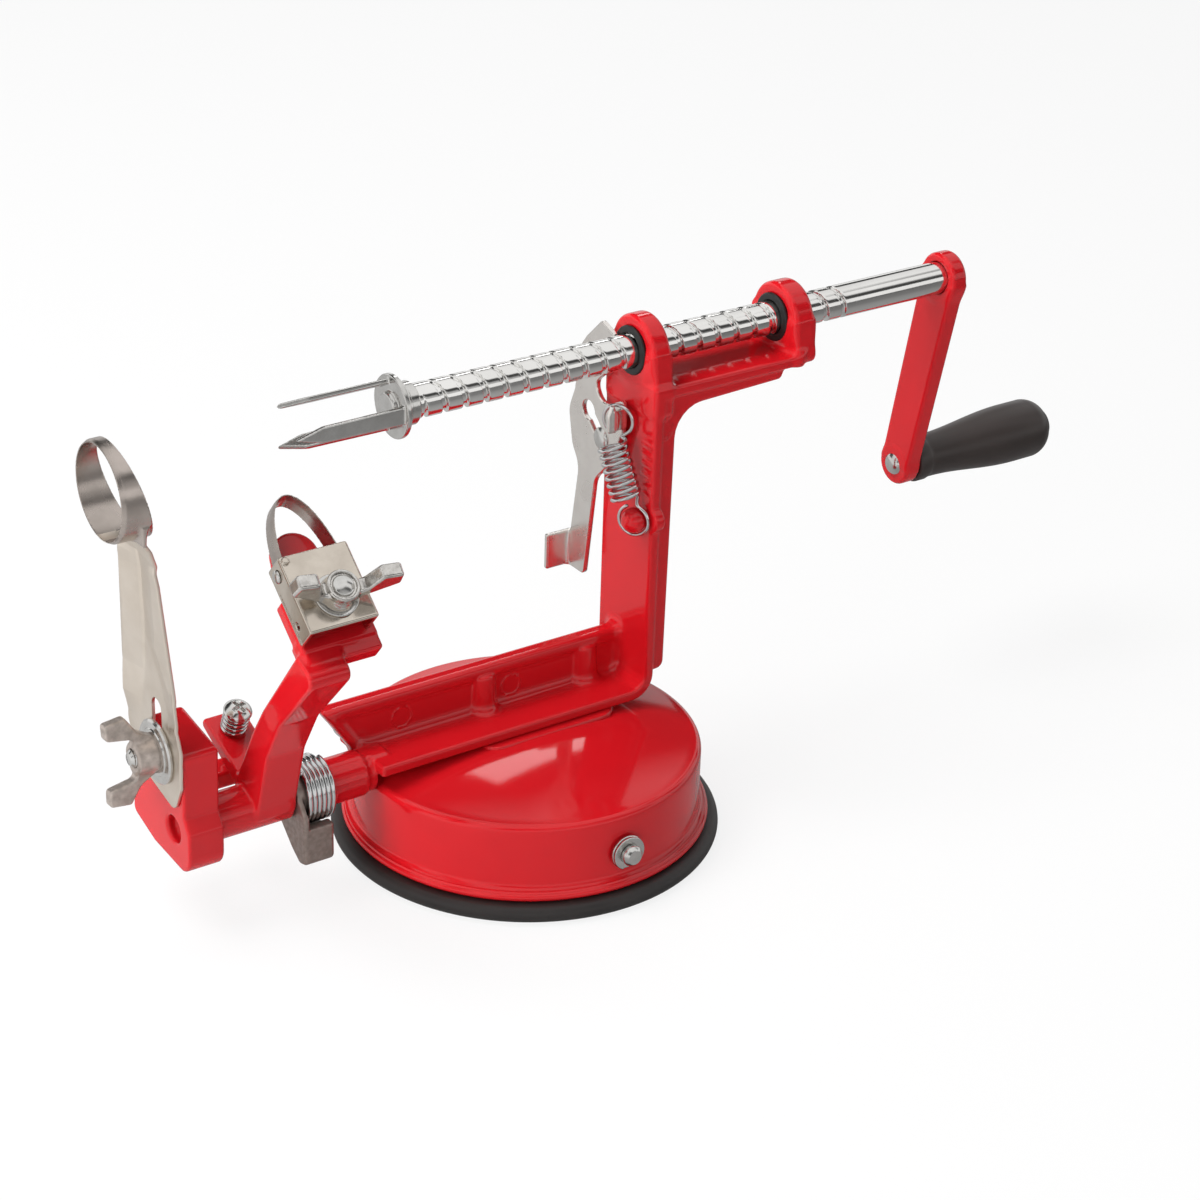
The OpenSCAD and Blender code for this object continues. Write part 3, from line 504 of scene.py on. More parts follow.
def oblong(a: tuple[float, float], b: tuple[float, float], radius: float) -> Outline:
    """Outline of a rectangle with rounded corners, from its range on each axis."""
    (a0, a1), (b0, b1) = a, b
    return rounded([(a0, b0, radius), (a1, b0, radius), (a1, b1, radius), (a0, b1, radius)])


def arc(
    centre: tuple[float, float], r: float, a0: float, a1: float, n: int = 8
) -> list[tuple[float, float]]:
    """Points of an arc round a centre, between two angles in degrees."""
    return [
        (centre[0] + r * math.cos(math.radians(a)), centre[1] + r * math.sin(math.radians(a)))
        for a in np.linspace(a0, a1, n + 1)
    ]


def posed(at: Sequence[float], *turns: tuple[float, str]) -> Matrix:
    """A place with turns about its own axes.

    Args:
        at: Where it is.
        turns: Angle in degrees and axis of each turn, in order.

    Returns:
        The transform.
    """
    place = Matrix.Translation(at)
    for angle, axis in turns:
        place = place @ Matrix.Rotation(math.radians(angle), 4, axis)
    return place


def moved(points: np.ndarray, place: Matrix) -> np.ndarray:
    """Points moved by a rigid transform."""
    return points @ np.array(place.to_3x3()).T + np.array(place.translation)


# ---- Meshes ----


def make_mesh(
    name: str,
    points: np.ndarray,
    faces: Iterable[Sequence[int]],
    normals: np.ndarray | None = None,
) -> bpy.types.Object:
    """A smooth mesh object from points in millimetres.

    Args:
        name: Name of the object.
        points: Points, one a row.
        faces: Corners of each face.
        normals: Direction of the surface at each point, if known.

    Returns:
        The object, linked to the scene.
    """
    mesh = bpy.data.meshes.new(name)
    mesh.from_pydata((np.asarray(points) * MM).tolist(), [], [list(map(int, f)) for f in faces])
    mesh.validate()
    mesh.polygons.foreach_set("use_smooth", [True] * len(mesh.polygons))
    if normals is not None and len(mesh.vertices) == len(normals):
        mesh.normals_split_custom_set_from_vertices(normals.tolist())
    obj = bpy.data.objects.new(name, mesh)
    bpy.context.scene.collection.objects.link(obj)
    return obj


def cast(name: str, solid: Solid, cell: float) -> bpy.types.Object:
    """A mesh object of a solid, with faces of the size of a cell."""
    return make_mesh(name, *skin(solid, cell))


def face_ring(
    bm: bmesh.types.BMesh, a: list[bmesh.types.BMVert], b: list[bmesh.types.BMVert], sides: int
) -> None:
    """Makes the faces between two rings of points.

    Args:
        bm: The mesh.
        a: One ring, or a single point.
        b: The other ring, or a single point.
        sides: Faces round them.
    """
    for n in range(sides):
        m = (n + 1) % sides
        quad = dict.fromkeys([a[n % len(a)], a[m % len(a)], b[m % len(b)], b[n % len(b)]])
        if len(quad) > 2:
            bm.faces.new(list(quad))


def tube_faces(rows: int, sides: int) -> list[list[int]]:
    """Faces of a tube of point rows, closed at both ends.

    Args:
        rows: Count of rows.
        sides: Points in a row.

    Returns:
        Corners of each face.
    """
    faces = []
    for n in range(rows - 1):
        for s in range(sides):
            a, b = n * sides + s, n * sides + (s + 1) % sides
            faces.append([a, b, b + sides, a + sides])
    faces.append(list(range(sides))[::-1])
    faces.append([(rows - 1) * sides + s for s in range(sides)])
    return faces


def spun(
    name: str,
    profile: Sequence[tuple[float, float]],
    axis: Axis,
    centre: tuple[float, float],
    sides: int = 96,
    sharp: float = 28.0,
) -> bpy.types.Object:
    """A turned shape: a profile of (radius, place on the axis) spun round an axis.

    Args:
        name: Name of the object.
        profile: Points from one pole or rim to the other; closed where both ends have a radius.
        axis: Axis of the spin.
        centre: Place of the axis on the two other axes.
        sides: Faces round the axis.
        sharp: Angle in degrees above which an edge shades as an edge.

    Returns:
        The object.
    """
    i, j = axis.across
    rows = [(max(r, 0.0), t) for r, t in profile]
    closed = rows[0][0] > TINY and rows[-1][0] > TINY
    bm = bmesh.new()
    rings: list[list[bmesh.types.BMVert]] = []
    for r, t in rows:
        ring = []
        for n in range(1 if r < TINY else sides):
            a = 2 * math.pi * n / sides
            co = [0.0, 0.0, 0.0]
            co[axis.value] = t * MM
            co[i] = (centre[0] + r * math.cos(a)) * MM
            co[j] = (centre[1] + r * math.sin(a)) * MM
            ring.append(bm.verts.new(co))
        rings.append(ring)
    pairs = list(zip(rings, rings[1:])) + ([(rings[-1], rings[0])] if closed else [])
    for a, b in pairs:
        face_ring(bm, a, b, sides)
    bmesh.ops.recalc_face_normals(bm, faces=bm.faces)
    obj = finish_bmesh(name, bm)
    obj.data.set_sharp_from_angle(angle=math.radians(sharp))
    return obj


def finish_bmesh(name: str, bm: bmesh.types.BMesh) -> bpy.types.Object:
    """A smooth object from a bmesh, which is freed.

    Args:
        name: Name of the object.
        bm: The mesh, which is freed.

    Returns:
        The object.
    """
    mesh = bpy.data.meshes.new(name)
    bm.to_mesh(mesh)
    bm.free()
    mesh.polygons.foreach_set("use_smooth", [True] * len(mesh.polygons))
    obj = bpy.data.objects.new(name, mesh)
    bpy.context.scene.collection.objects.link(obj)
    return obj


def drawn_wire(
    name: str, path: np.ndarray, radius: float, sides: int = 12
) -> bpy.types.Object:
    """A round wire along a path, with rounded ends.

    Args:
        name: Name of the object.
        path: Points of its centre line.
        radius: Radius of the wire.
        sides: Faces round the wire.

    Returns:
        The object.
    """
    path = np.asarray(path, float)
    ends = [unit(path[0] - path[1]), unit(path[-1] - path[-2])]
    head = [path[0] + ends[0] * radius * h for _, h in reversed(WIRE_CAPS)]
    tail = [path[-1] + ends[1] * radius * h for _, h in WIRE_CAPS]
    line = np.array(head + list(path) + tail)
    shrink = [w for w, _ in WIRE_CAPS]
    sizes = shrink[::-1] + [1.0] * len(path) + shrink
    tangents = np.gradient(line, axis=0)
    tangents /= np.linalg.norm(tangents, axis=1)[:, None]
    side = np.cross(tangents[0], [0.3, 0.5, 0.8])
    rows = []
    for p, t, w in zip(line, tangents, sizes):
        side = unit(side - (side @ t) * t)
        up = np.cross(t, side)
        angles = np.arange(sides) * 2 * math.pi / sides
        ring = np.outer(np.cos(angles), side) + np.outer(np.sin(angles), up)
        rows.append(p + radius * w * ring)
    return make_mesh(name, np.concatenate(rows), tube_faces(len(line), sides))


def lathe_grid(
    name: str,
    stations: np.ndarray,
    radius: Callable[[np.ndarray, np.ndarray], np.ndarray],
    centre: tuple[float, float],
    sides: int,
) -> bpy.types.Object:
    """A bar along X whose radius changes along and round it, closed at both ends.

    Args:
        name: Name of the object.
        stations: Places along X.
        radius: Radius from the station and the angle.
        centre: Place of the axis (y, z).
        sides: Faces round the axis.

    Returns:
        The object.
    """
    angles = np.arange(sides) * 2 * math.pi / sides
    x, a = np.meshgrid(stations, angles, indexing="ij")
    r = radius(x, a)
    points = np.stack([x, centre[0] + r * np.cos(a), centre[1] + r * np.sin(a)], -1)
    return make_mesh(name, points.reshape(-1, 3), tube_faces(len(stations), sides))


# ---- Finishes ----


class Body(Enum):
    """The bodies that the pieces move with."""

    BASE = "base"
    LOCK = "lock_lever"
    STUD = "cup_stud"
    CORER = "corer_blade"
    CORER_NUT = "corer_nut"
    ARM = "arm"
    HOLDER = "holder"
    HOLDER_NUT = "holder_nut"
    DEPTH = "depth_screw"
    LATCH = "latch"
    BUSHES = "bushes"
    DRIVE = "drive"
    GRIP = "grip"
    RELEASE = "release"


class Grain(Enum):
    """How the fine grain of a surface runs: the stretch of its noise along x, y and z."""

    EVEN = (1.0, 1.0, 1.0)
    ALONG_Z = (1.0, 1.0, 0.04)
    ROUND_X = (1.0, 0.12, 0.12)


class Net:
    """A shader tree that is built one linked node at a time."""

    def __init__(self, tree: bpy.types.NodeTree) -> None:
        """Takes the tree to build in."""
        self.tree = tree

    def feed(self, node: bpy.types.Node, given: Feed) -> None:
        """Links a socket to each input that is given one, and sets the others.

        Args:
            node: The node.
            given: A socket or a constant for each input.
        """
        for name, value in given.items():
            if isinstance(value, bpy.types.NodeSocket):
                self.tree.links.new(value, node.inputs[name])
            else:
                node.inputs[name].default_value = value

    def add(self, kind: str, given: Feed | None = None, **settings: object) -> bpy.types.Node:
        """A new node.

        Args:
            kind: Its type.
            given: A socket or a constant for each input.
            settings: Its other settings.

        Returns:
            The node.
        """
        node = self.tree.nodes.new(kind)
        for name, value in settings.items():
            setattr(node, name, value)
        self.feed(node, given or {})
        return node

    def math(self, operation: str, *given: object) -> bpy.types.NodeSocket:
        """Result of a sum on sockets and constants."""
        return self.add("ShaderNodeMath", dict(enumerate(given)), operation=operation).outputs[0]

    def ranged(
        self, value: bpy.types.NodeSocket, low: object, high: object,
        to_low: object = 0.0, to_high: object = 1.0,
    ) -> bpy.types.NodeSocket:
        """A value moved from one range to another.

        Args:
            value: The value.
            low: Start of its range.
            high: End of its range.
            to_low: What the start becomes.
            to_high: What the end becomes.

        Returns:
            The result.
        """
        limits = {"From Min": low, "From Max": high, "To Min": to_low, "To Max": to_high}
        return self.add("ShaderNodeMapRange", {"Value": value, **limits}).outputs["Result"]

    def place(self) -> bpy.types.NodeSocket:
        """Place on the object."""
        return self.add("ShaderNodeTexCoord").outputs["Object"]


def node_group(
    name: str, inputs: dict[str, str], outputs: dict[str, str],
    fill: Callable[[Net, bpy.types.NodeOutputs], Feed],
) -> bpy.types.NodeTree:
    """A node group, made once.

    Args:
        name: Its name.
        inputs: Kind of each input by name.
        outputs: Kind of each output by name.
        fill: Adds its nodes to a net and gives back the sockets for its outputs.

    Returns:
        The group.
    """
    if name in bpy.data.node_groups:
        return bpy.data.node_groups[name]
    tree = bpy.data.node_groups.new(name, "ShaderNodeTree")
    for way, sockets in (("INPUT", inputs), ("OUTPUT", outputs)):
        for label, kind in sockets.items():
            tree.interface.new_socket(name=label, in_out=way, socket_type="NodeSocket" + kind)
    net = Net(tree)
    net.add("NodeGroupOutput", fill(net, net.add("NodeGroupInput").outputs))
    return tree


def shade_wander(net: Net, given: bpy.types.NodeOutputs) -> Feed:
    """Mixes two close colours in soft patches, and wanders the roughness with them.

    Args:
        net: The group's net.
        given: The group's inputs.

    Returns:
        Sockets for the group's outputs.
    """
    patch = net.add(
        "ShaderNodeTexNoise",
        {"Vector": net.place(), "Scale": given["Patch Scale"], "Detail": PATCH_DETAIL},
    ).outputs["Fac"]
    mix = net.add(
        "ShaderNodeMix",
        {"Factor": net.ranged(patch, *PATCH_EDGES), "A": given["Color A"], "B": given["Color B"]},
        data_type="RGBA",
    )
    rough = net.ranged(patch, *ROUGH_EDGES, given["Rough Low"], given["Rough High"])
    return {"Color": mix.outputs["Result"], "Roughness": rough}


def fine_grain(net: Net, given: bpy.types.NodeOutputs) -> Feed:
    """Gives the height of a fine grain on a slow swell.

    Args:
        net: The group's net.
        given: The group's inputs.

    Returns:
        Sockets for the group's outputs.
    """
    place = net.place()
    stretch = net.add(
        "ShaderNodeVectorMath", {0: place, 1: given["Stretch"]}, operation="MULTIPLY"
    ).outputs["Vector"]
    fine = net.add(
        "ShaderNodeTexNoise",
        {"Vector": stretch, "Scale": given["Fine Scale"], "Detail": GRAIN_DETAIL},
    )
    swell = net.add("ShaderNodeTexNoise", {"Vector": place, "Scale": given["Swell Scale"]})
    share = given["Swell Share"]
    return {"Height": net.math("MULTIPLY_ADD", swell.outputs["Fac"], share, fine.outputs["Fac"])}


def scattered_spots(net: Net, given: bpy.types.NodeOutputs) -> Feed:
    """Marks small scattered spots, for dust, pits and casting pores.

    Args:
        net: The group's net.
        given: The group's inputs.

    Returns:
        Sockets for the group's outputs.
    """
    cells = net.add(
        "ShaderNodeTexVoronoi", {"Vector": net.place(), "Scale": given["Spot Scale"]}
    )
    near = net.math("LESS_THAN", cells.outputs["Distance"], given["Spot Size"])
    mix = net.add(
        "ShaderNodeMix", {"Factor": near, "A": given["Color"], "B": given["Spot Color"]},
        data_type="RGBA",
    )
    return {"Color": mix.outputs["Result"], "Mask": near}


Rgb = tuple[float, float, float]


@dataclass(frozen=True)
class Finish:
    """A surface finish: its colours, gloss and relief.

    Colours are linear, scales are per metre and the relief's depth is in metres.
    """

    name: str
    color: Rgb
    second: Rgb
    rough: tuple[float, float]
    metal: float = 0.0
    patch_scale: float = 40.0
    grain: Grain = Grain.EVEN
    grain_scale: float = 900.0
    swell_scale: float = 60.0
    swell_share: float = 1.0
    depth: float = 0.00004
    strength: float = 0.3
    spot_color: Rgb = (0.0, 0.0, 0.0)
    spot_scale: float = 300.0
    spot_size: float = 0.0
    coat: float = 0.0
    coat_rough: float = 0.03
    specular: float = 0.5

    def material(self) -> bpy.types.Material:
        """The finish as a material, made once.

        Returns:
            The material.
        """
        if self.name in bpy.data.materials:
            return bpy.data.materials[self.name]
        made = bpy.data.materials.new(self.name)
        made.use_nodes = True
        made.diffuse_color = (*self.color, 1.0)
        net = Net(made.node_tree)
        tone_tree = node_group(
            "shade_wander",
            {"Color A": "Color", "Color B": "Color", "Patch Scale": "Float",
             "Rough Low": "Float", "Rough High": "Float"},
            {"Color": "Color", "Roughness": "Float"}, shade_wander,
        )
        spot_tree = node_group(
            "scattered_spots",
            {"Color": "Color", "Spot Color": "Color", "Spot Scale": "Float", "Spot Size": "Float"},
            {"Color": "Color", "Mask": "Float"}, scattered_spots,
        )
        grain_tree = node_group(
            "fine_grain",
            {"Stretch": "Vector", "Fine Scale": "Float", "Swell Scale": "Float",
             "Swell Share": "Float"},
            {"Height": "Float"}, fine_grain,
        )
        tone = net.add("ShaderNodeGroup", node_tree=tone_tree)
        net.feed(tone, {
            "Color A": (*self.color, 1.0), "Color B": (*self.second, 1.0),
            "Patch Scale": self.patch_scale,
            "Rough Low": self.rough[0], "Rough High": self.rough[1],
        })
        spots = net.add("ShaderNodeGroup", node_tree=spot_tree)
        net.feed(spots, {
            "Color": tone.outputs["Color"], "Spot Color": (*self.spot_color, 1.0),
            "Spot Scale": self.spot_scale, "Spot Size": self.spot_size,
        })
        relief = net.add("ShaderNodeGroup", node_tree=grain_tree)
        net.feed(relief, {
            "Stretch": self.grain.value, "Fine Scale": self.grain_scale,
            "Swell Scale": self.swell_scale, "Swell Share": self.swell_share,
        })
        bump = net.add("ShaderNodeBump", {
            "Strength": self.strength, "Distance": self.depth,
            "Height": relief.outputs["Height"],
        })
        net.feed(made.node_tree.nodes["Principled BSDF"], {
            "Metallic": self.metal, "Coat Weight": self.coat,
            "Coat Roughness": self.coat_rough, "Specular IOR Level": self.specular,
            "Roughness": tone.outputs["Roughness"], "Base Color": spots.outputs["Color"],
            "Normal": bump.outputs["Normal"],
        })
        return made


POWDER_RED = Finish(
    name="powder_red", color=(0.60, 0.0085, 0.0140), second=(0.55, 0.0075, 0.0125),
    rough=(0.05, 0.10), patch_scale=25.0, grain_scale=1400.0, swell_scale=150.0,
    swell_share=3.0, depth=0.00003, strength=0.14, specular=0.42,
)
CHROME = Finish(
    name="chrome", color=(0.82, 0.81, 0.79), second=(0.76, 0.75, 0.73), rough=(0.06, 0.12),
    metal=1.0, grain=Grain.ROUND_X, grain_scale=1600.0, depth=0.00001, strength=0.2,
)
PLATED = Finish(
    name="plated_steel", color=(0.66, 0.65, 0.63), second=(0.56, 0.55, 0.53),
    rough=(0.14, 0.24), metal=1.0, patch_scale=220.0, grain_scale=1200.0, depth=0.00002,
    strength=0.25,
)
BLADE_STEEL = Finish(
    name="blade_steel", color=(0.80, 0.72, 0.63), second=(0.73, 0.65, 0.56),
    rough=(0.30, 0.40), metal=1.0, patch_scale=90.0, grain=Grain.ALONG_Z,
    grain_scale=2600.0, depth=0.00002, strength=0.3,
)
# Darker brushed steel of the coring ring, also used on the peeling blade. On the coring blade's
# neck next to the ring, this darker tone is painted shade.
RING_STEEL_AND_SHADE = Finish(
    name="ring_steel_and_shade", color=(0.52, 0.46, 0.42), second=(0.42, 0.37, 0.335),
    rough=(0.22, 0.32), metal=1.0, patch_scale=120.0, grain=Grain.ROUND_X,
    grain_scale=2600.0, depth=0.00002, strength=0.3,
)
LEVER_STEEL = Finish(
    name="lever_steel", color=(0.84, 0.80, 0.76), second=(0.78, 0.74, 0.70),
    rough=(0.20, 0.30), metal=1.0, patch_scale=160.0, grain_scale=1600.0,
    depth=0.00002, strength=0.25,
)
WARM_NICKEL = Finish(
    name="warm_nickel", color=(0.64, 0.575, 0.50), second=(0.56, 0.50, 0.43),
    rough=(0.13, 0.22), metal=1.0, patch_scale=150.0, grain_scale=900.0,
    depth=0.00003, strength=0.25,
)
DULL_ZINC = Finish(
    name="dull_zinc", color=(0.60, 0.52, 0.47), second=(0.44, 0.38, 0.34),
    rough=(0.30, 0.5), metal=0.9, patch_scale=500.0, grain_scale=2600.0,
    swell_scale=600.0, swell_share=1.0, depth=0.00012, strength=0.5,
)
LATCH_METAL = Finish(
    name="latch_metal", color=(0.33, 0.265, 0.235), second=(0.26, 0.208, 0.183),
    rough=(0.36, 0.48), metal=0.85, patch_scale=700.0, grain_scale=3600.0,
    swell_scale=1500.0, swell_share=0.4, depth=0.00006, strength=0.35,
)
SPRING_STEEL = Finish(
    name="spring_steel", color=(0.72, 0.67, 0.60), second=(0.60, 0.55, 0.48),
    rough=(0.12, 0.2), metal=1.0, patch_scale=400.0, grain_scale=1800.0,
    depth=0.00001, strength=0.2,
)
BRIGHT_ZINC = Finish(
    name="bright_zinc", color=(0.66, 0.64, 0.61), second=(0.50, 0.48, 0.455),
    rough=(0.10, 0.22), metal=1.0, patch_scale=500.0, grain_scale=1500.0,
    swell_scale=500.0, swell_share=1.4, depth=0.00010, strength=0.5,
)
BLACK_RUBBER = Finish(
    name="black_rubber", color=(0.016, 0.014, 0.0135), second=(0.024, 0.021, 0.02),
    rough=(0.42, 0.58), patch_scale=60.0, grain_scale=3000.0, swell_scale=250.0,
    depth=0.00003, strength=0.4, specular=0.4,
)
SEAL_RUBBER = Finish(
    name="seal_rubber", color=(0.010, 0.010, 0.010), second=(0.016, 0.016, 0.016),
    rough=(0.34, 0.46), patch_scale=120.0, grain_scale=3000.0, depth=0.00002,
    strength=0.3, specular=0.4,
)
SATIN_BLACK = Finish(
    name="satin_black", color=(0.026, 0.0185, 0.0165), second=(0.033, 0.0235, 0.021),
    rough=(0.36, 0.44), patch_scale=45.0, grain_scale=2600.0, swell_scale=120.0,
    depth=0.00003, strength=0.35, specular=0.45,
)


def dress(
    obj: bpy.types.Object, finish: Finish, body: Body | None, slot: str, *nodes: str
) -> None:
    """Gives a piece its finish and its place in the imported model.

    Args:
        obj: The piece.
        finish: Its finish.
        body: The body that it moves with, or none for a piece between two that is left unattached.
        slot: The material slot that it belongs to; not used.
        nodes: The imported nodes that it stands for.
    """
    obj.data.materials.clear()
    obj.data.materials.append(finish.material())
    if body:
        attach(obj, body.value)
    if nodes:
        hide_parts(*nodes)
    LOG.info("%s: %d faces, %s", obj.name, len(obj.data.polygons), finish.name)


# ---- The peeler's sub-assemblies ----


def span(node: str, axis: Axis) -> tuple[float, float]:
    """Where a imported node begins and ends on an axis, in millimetres."""
    lo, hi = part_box(node)
    return lo[axis.value] / MM, hi[axis.value] / MM


@dataclass
class SuctionBase:
    """The domed cover on its rubber cup, with the axle and lever that pull the cup up."""

    wall_r: float = 49.6
    wall_top: float = 27.2
    dome_top: float = 31.8
    shell: float = 2.0
    edge_r: float = 2.0
    flare: float = 2.7
    lip: float = 3.1
    cup_h: float = 5.0
    axle_z: float = 16.0
    axle_d: float = 6.0
    cam_e: float = 1.5
    lever_len: float = 33.0
    lever_w: float = 13.0
    lever_t: float = 3.2
    seat_z: float = 32.0
    seat: tuple[float, float, float, float] = (-17.6, 27.0, -8.5, 16.0)
    screw_x: tuple[float, float] = (-9.6, 24.7)
    screw_y: float = 9.2

    @property
    def axle_at(self) -> tuple[float, float]:
        """Place of the axle's centre line (x, z)."""
        return 0.0, self.axle_z

    @property
    def dome_r(self) -> float:
        """Radius of the dome's curve."""
        rise = self.dome_top - self.wall_top
        return (self.wall_r**2 + rise**2) / (2 * rise)

    def dome_z(self, r: float) -> float:
        """Height of the dome at a distance from its middle."""
        return self.dome_top - self.dome_r + math.sqrt(self.dome_r**2 - r * r)

    def cup(self) -> None:
        """The rubber cup: a thick rounded lip with a moulded step, and a sheet inside it."""
        out = self.wall_r + self.flare + self.lip - 0.03
        bead = self.cup_h / 2
        profile = [(0.0, 0.0), (30.0, 0.05), (44.0, 0.0), (out - bead, 0.0)]
        profile += arc((out - bead, bead), bead, -80, 84, 14)
        profile += [(out - 4.4, self.cup_h - 0.1), (out - 4.9, self.cup_h - 0.55)]
        profile += [(out - 6.0, self.cup_h - 0.6), (self.wall_r - 4.6, self.cup_h - 0.6)]
        profile += [(self.wall_r - 5.2, 2.7), (self.wall_r - 9.0, 2.45), (0.0, 2.45)]
        obj = spun("rubber_cup", profile, Axis.Z, (0.0, 0.0), 160)
        dress(obj, BLACK_RUBBER, Body.BASE, "rubber", "suction_cup")

    def cover(self) -> None:
        """The pressed cover: dome, wall and rolled foot."""
        edge_in = self.wall_r - self.edge_r
        inner = self.wall_r - self.shell
        rim = self.wall_r + self.flare
        foot = self.cup_h
        outer = [(r, self.dome_z(r)) for r in np.linspace(0.0, edge_in, 26)]
        outer += arc((edge_in, self.dome_z(edge_in) - self.edge_r), self.edge_r, 80, 2, 8)
        outer += [(self.wall_r, z) for z in np.linspace(self.wall_top - 3.4, foot + 5.6, 8)]
        outer += arc((self.wall_r + 1.9, foot + 4.9), 1.9, 180, 262, 7)
        outer += arc((rim - 1.05, foot + 1.5), 1.05, 78, -70, 8)
        outer += [(rim - 1.2, foot), (inner + 0.4, foot), (inner, foot + 0.4)]
        outer += [(inner, self.dome_z(inner) - self.shell)]
        outer += [(r, self.dome_z(r) - self.shell) for r in np.linspace(inner - 2, 0.0, 8)]
        obj = spun("domed_cover", outer, Axis.Z, (0.0, 0.0), 192, 40.0)
        dress(obj, POWDER_RED, Body.BASE, "red_paint", "base_cover")

    def seat_pad(self) -> None:
        """The raised seat on the dome, whose edge shows beside the frame's foot."""
        x0, x1, y0, y1 = self.seat
        pad = prism(
            Axis.Z, self.dome_top - 3.6, self.seat_z - 0.06,
            rounded([(x0, y0, 5.0), (x1, y0, 7.0), (x1, y1, 3.0), (x0, y1, 3.0)]), 0.35,
        )
        dress(cast("seat_pad", pad, 0.7), POWDER_RED, Body.BASE, "red_paint")

    def axle(self) -> None:
        """The axle with its grooved nose, turned cam and chamfered ends."""
        r, (y0, y1) = self.axle_d / 2, span("suction_axle", Axis.Y)
        groove = -self.wall_r - 2.4
        profile = [(0.0, y0), (r - 0.9, y0), (r - 0.15, y0 + 0.75), (r, y0 + 1.1)]
        profile += [(r, groove - 0.2), (r - 0.65, groove), (r - 0.65, groove + 1.0)]
        profile += [(r, groove + 1.2), (r, y1 - 0.6), (r - 0.6, y1), (0.0, y1)]
        body = spun("lock_axle", profile, Axis.Y, self.axle_at, 48)
        cam = rod(Axis.Y, -4.0, 4.0, 5.0, (0.0, self.axle_z - self.cam_e), 0.5)
        dress(body, PLATED, Body.LOCK, "bright_steel", "suction_axle")
        dress(cast("lock_cam", cam, 0.6), PLATED, Body.LOCK, "bright_steel")

    def washer(self) -> None:
        """The snap ring and the bright shouldered washer on the axle's nose."""
        y = -self.wall_r
        ring = rod(Axis.Y, y - 1.5, y - 0.5, 5.0, self.axle_at, 0.25)
        ring = ring.bored(Axis.Y, y - 3, y + 1, 3.05, self.axle_at)
        clip = rod(Axis.Y, y - 2.4, y - 1.6, 4.9, self.axle_at, 0.2)
        clip = clip.bored(Axis.Y, y - 4, y, 2.4, self.axle_at)
        slot = block((-1.7, y - 4, self.axle_z - 8), (1.7, y + 1, self.axle_z), 0.2)
        obj = cast("snap_ring", clip.less(slot, 0.3), 0.28)
        dress(obj, PLATED, Body.LOCK, "bright_steel", "axle_clip")
        dress(cast("axle_washer", ring, 0.35), PLATED, Body.LOCK, "bright_steel")

    def lever(self) -> None:
        """The pressed lever at the back, with a pressed groove and a thumb dish."""
        y0 = self.wall_r + 0.4
        half, z, n = self.lever_w / 2, self.axle_z, self.lever_len
        shape = [(0, z - half, 6.0), (6.4, z - half, 6.2), (6.4, z + half, 6.2), (0, z + half)]
        shape += [(-n + 9, z + half - 0.6, 9.0), (-n, z + half - 1.2, 4.4)]
        shape += [(-n, z - half + 1.2, 4.4), (-n + 9, z - half + 0.6, 9.0)]
        plate = prism(Axis.Y, y0, y0 + self.lever_t, rounded(shape), 0.9)
        dish = ball((-n + 9.5, y0 + self.lever_t + 11.0, z), 12.4)
        rib = rod(Axis.X, -n + 17, -8, 2.2, (y0 + self.lever_t + 0.6, z), 1.4)
        plate = plate.less(dish, 1.0).less(rib, 0.8)
        plate = plate.bored(Axis.Y, y0 - 1, y0 + 5, self.axle_d / 2 + 0.03, (0.0, z))
        obj = cast("lock_lever", plate, 0.5)
        dress(obj, PLATED, Body.LOCK, "satin_steel", "suction_lever")

    def under_parts(self) -> None:
        """The stud that lifts the cup, and the two screws that hold the frame."""
        z0, z1 = 2.5, 24.6
        eye = self.axle_z - self.cam_e
        stud = rod(Axis.Z, z0, z0 + 1.6, 15.0, (0.0, 0.0), 0.4)
        stud = stud.joined(block((-8.5, -3.0, z0), (8.5, 3.0, 22.2), 0.6), 1.5)
        stud = stud.less(block((-6.95, -5.0, eye - 5.45), (6.95, 5.0, eye + 5.45), 0.4), 0.4)
        dress(cast("cup_stud", stud, 0.55), PLATED, Body.STUD, "satin_steel", "cup_stud")
        head = self.seat_z - 6.7
        for n, x in enumerate(self.screw_x):
            profile = [(0.0, head + 1.0), (1.2, head + 1.0), (1.4, head), (3.2, head)]
            profile += [(3.8, head + 0.5), (3.8, head + 2.2), (2.0, head + 2.2)]
            profile += [(2.0, z1 + 17.0), (1.6, z1 + 17.6), (0.0, z1 + 17.6)]
            obj = spun(f"base_screw_{n + 1}", profile, Axis.Z, (x, self.screw_y), 40)
            dress(obj, PLATED, Body.BASE, "bright_steel", "base_screws")

    def build(self) -> None:
        """Builds and dresses the whole base."""
        self.cup()
        self.cover()
        self.seat_pad()
        self.axle()
        self.washer()
        self.lever()
        self.under_parts()


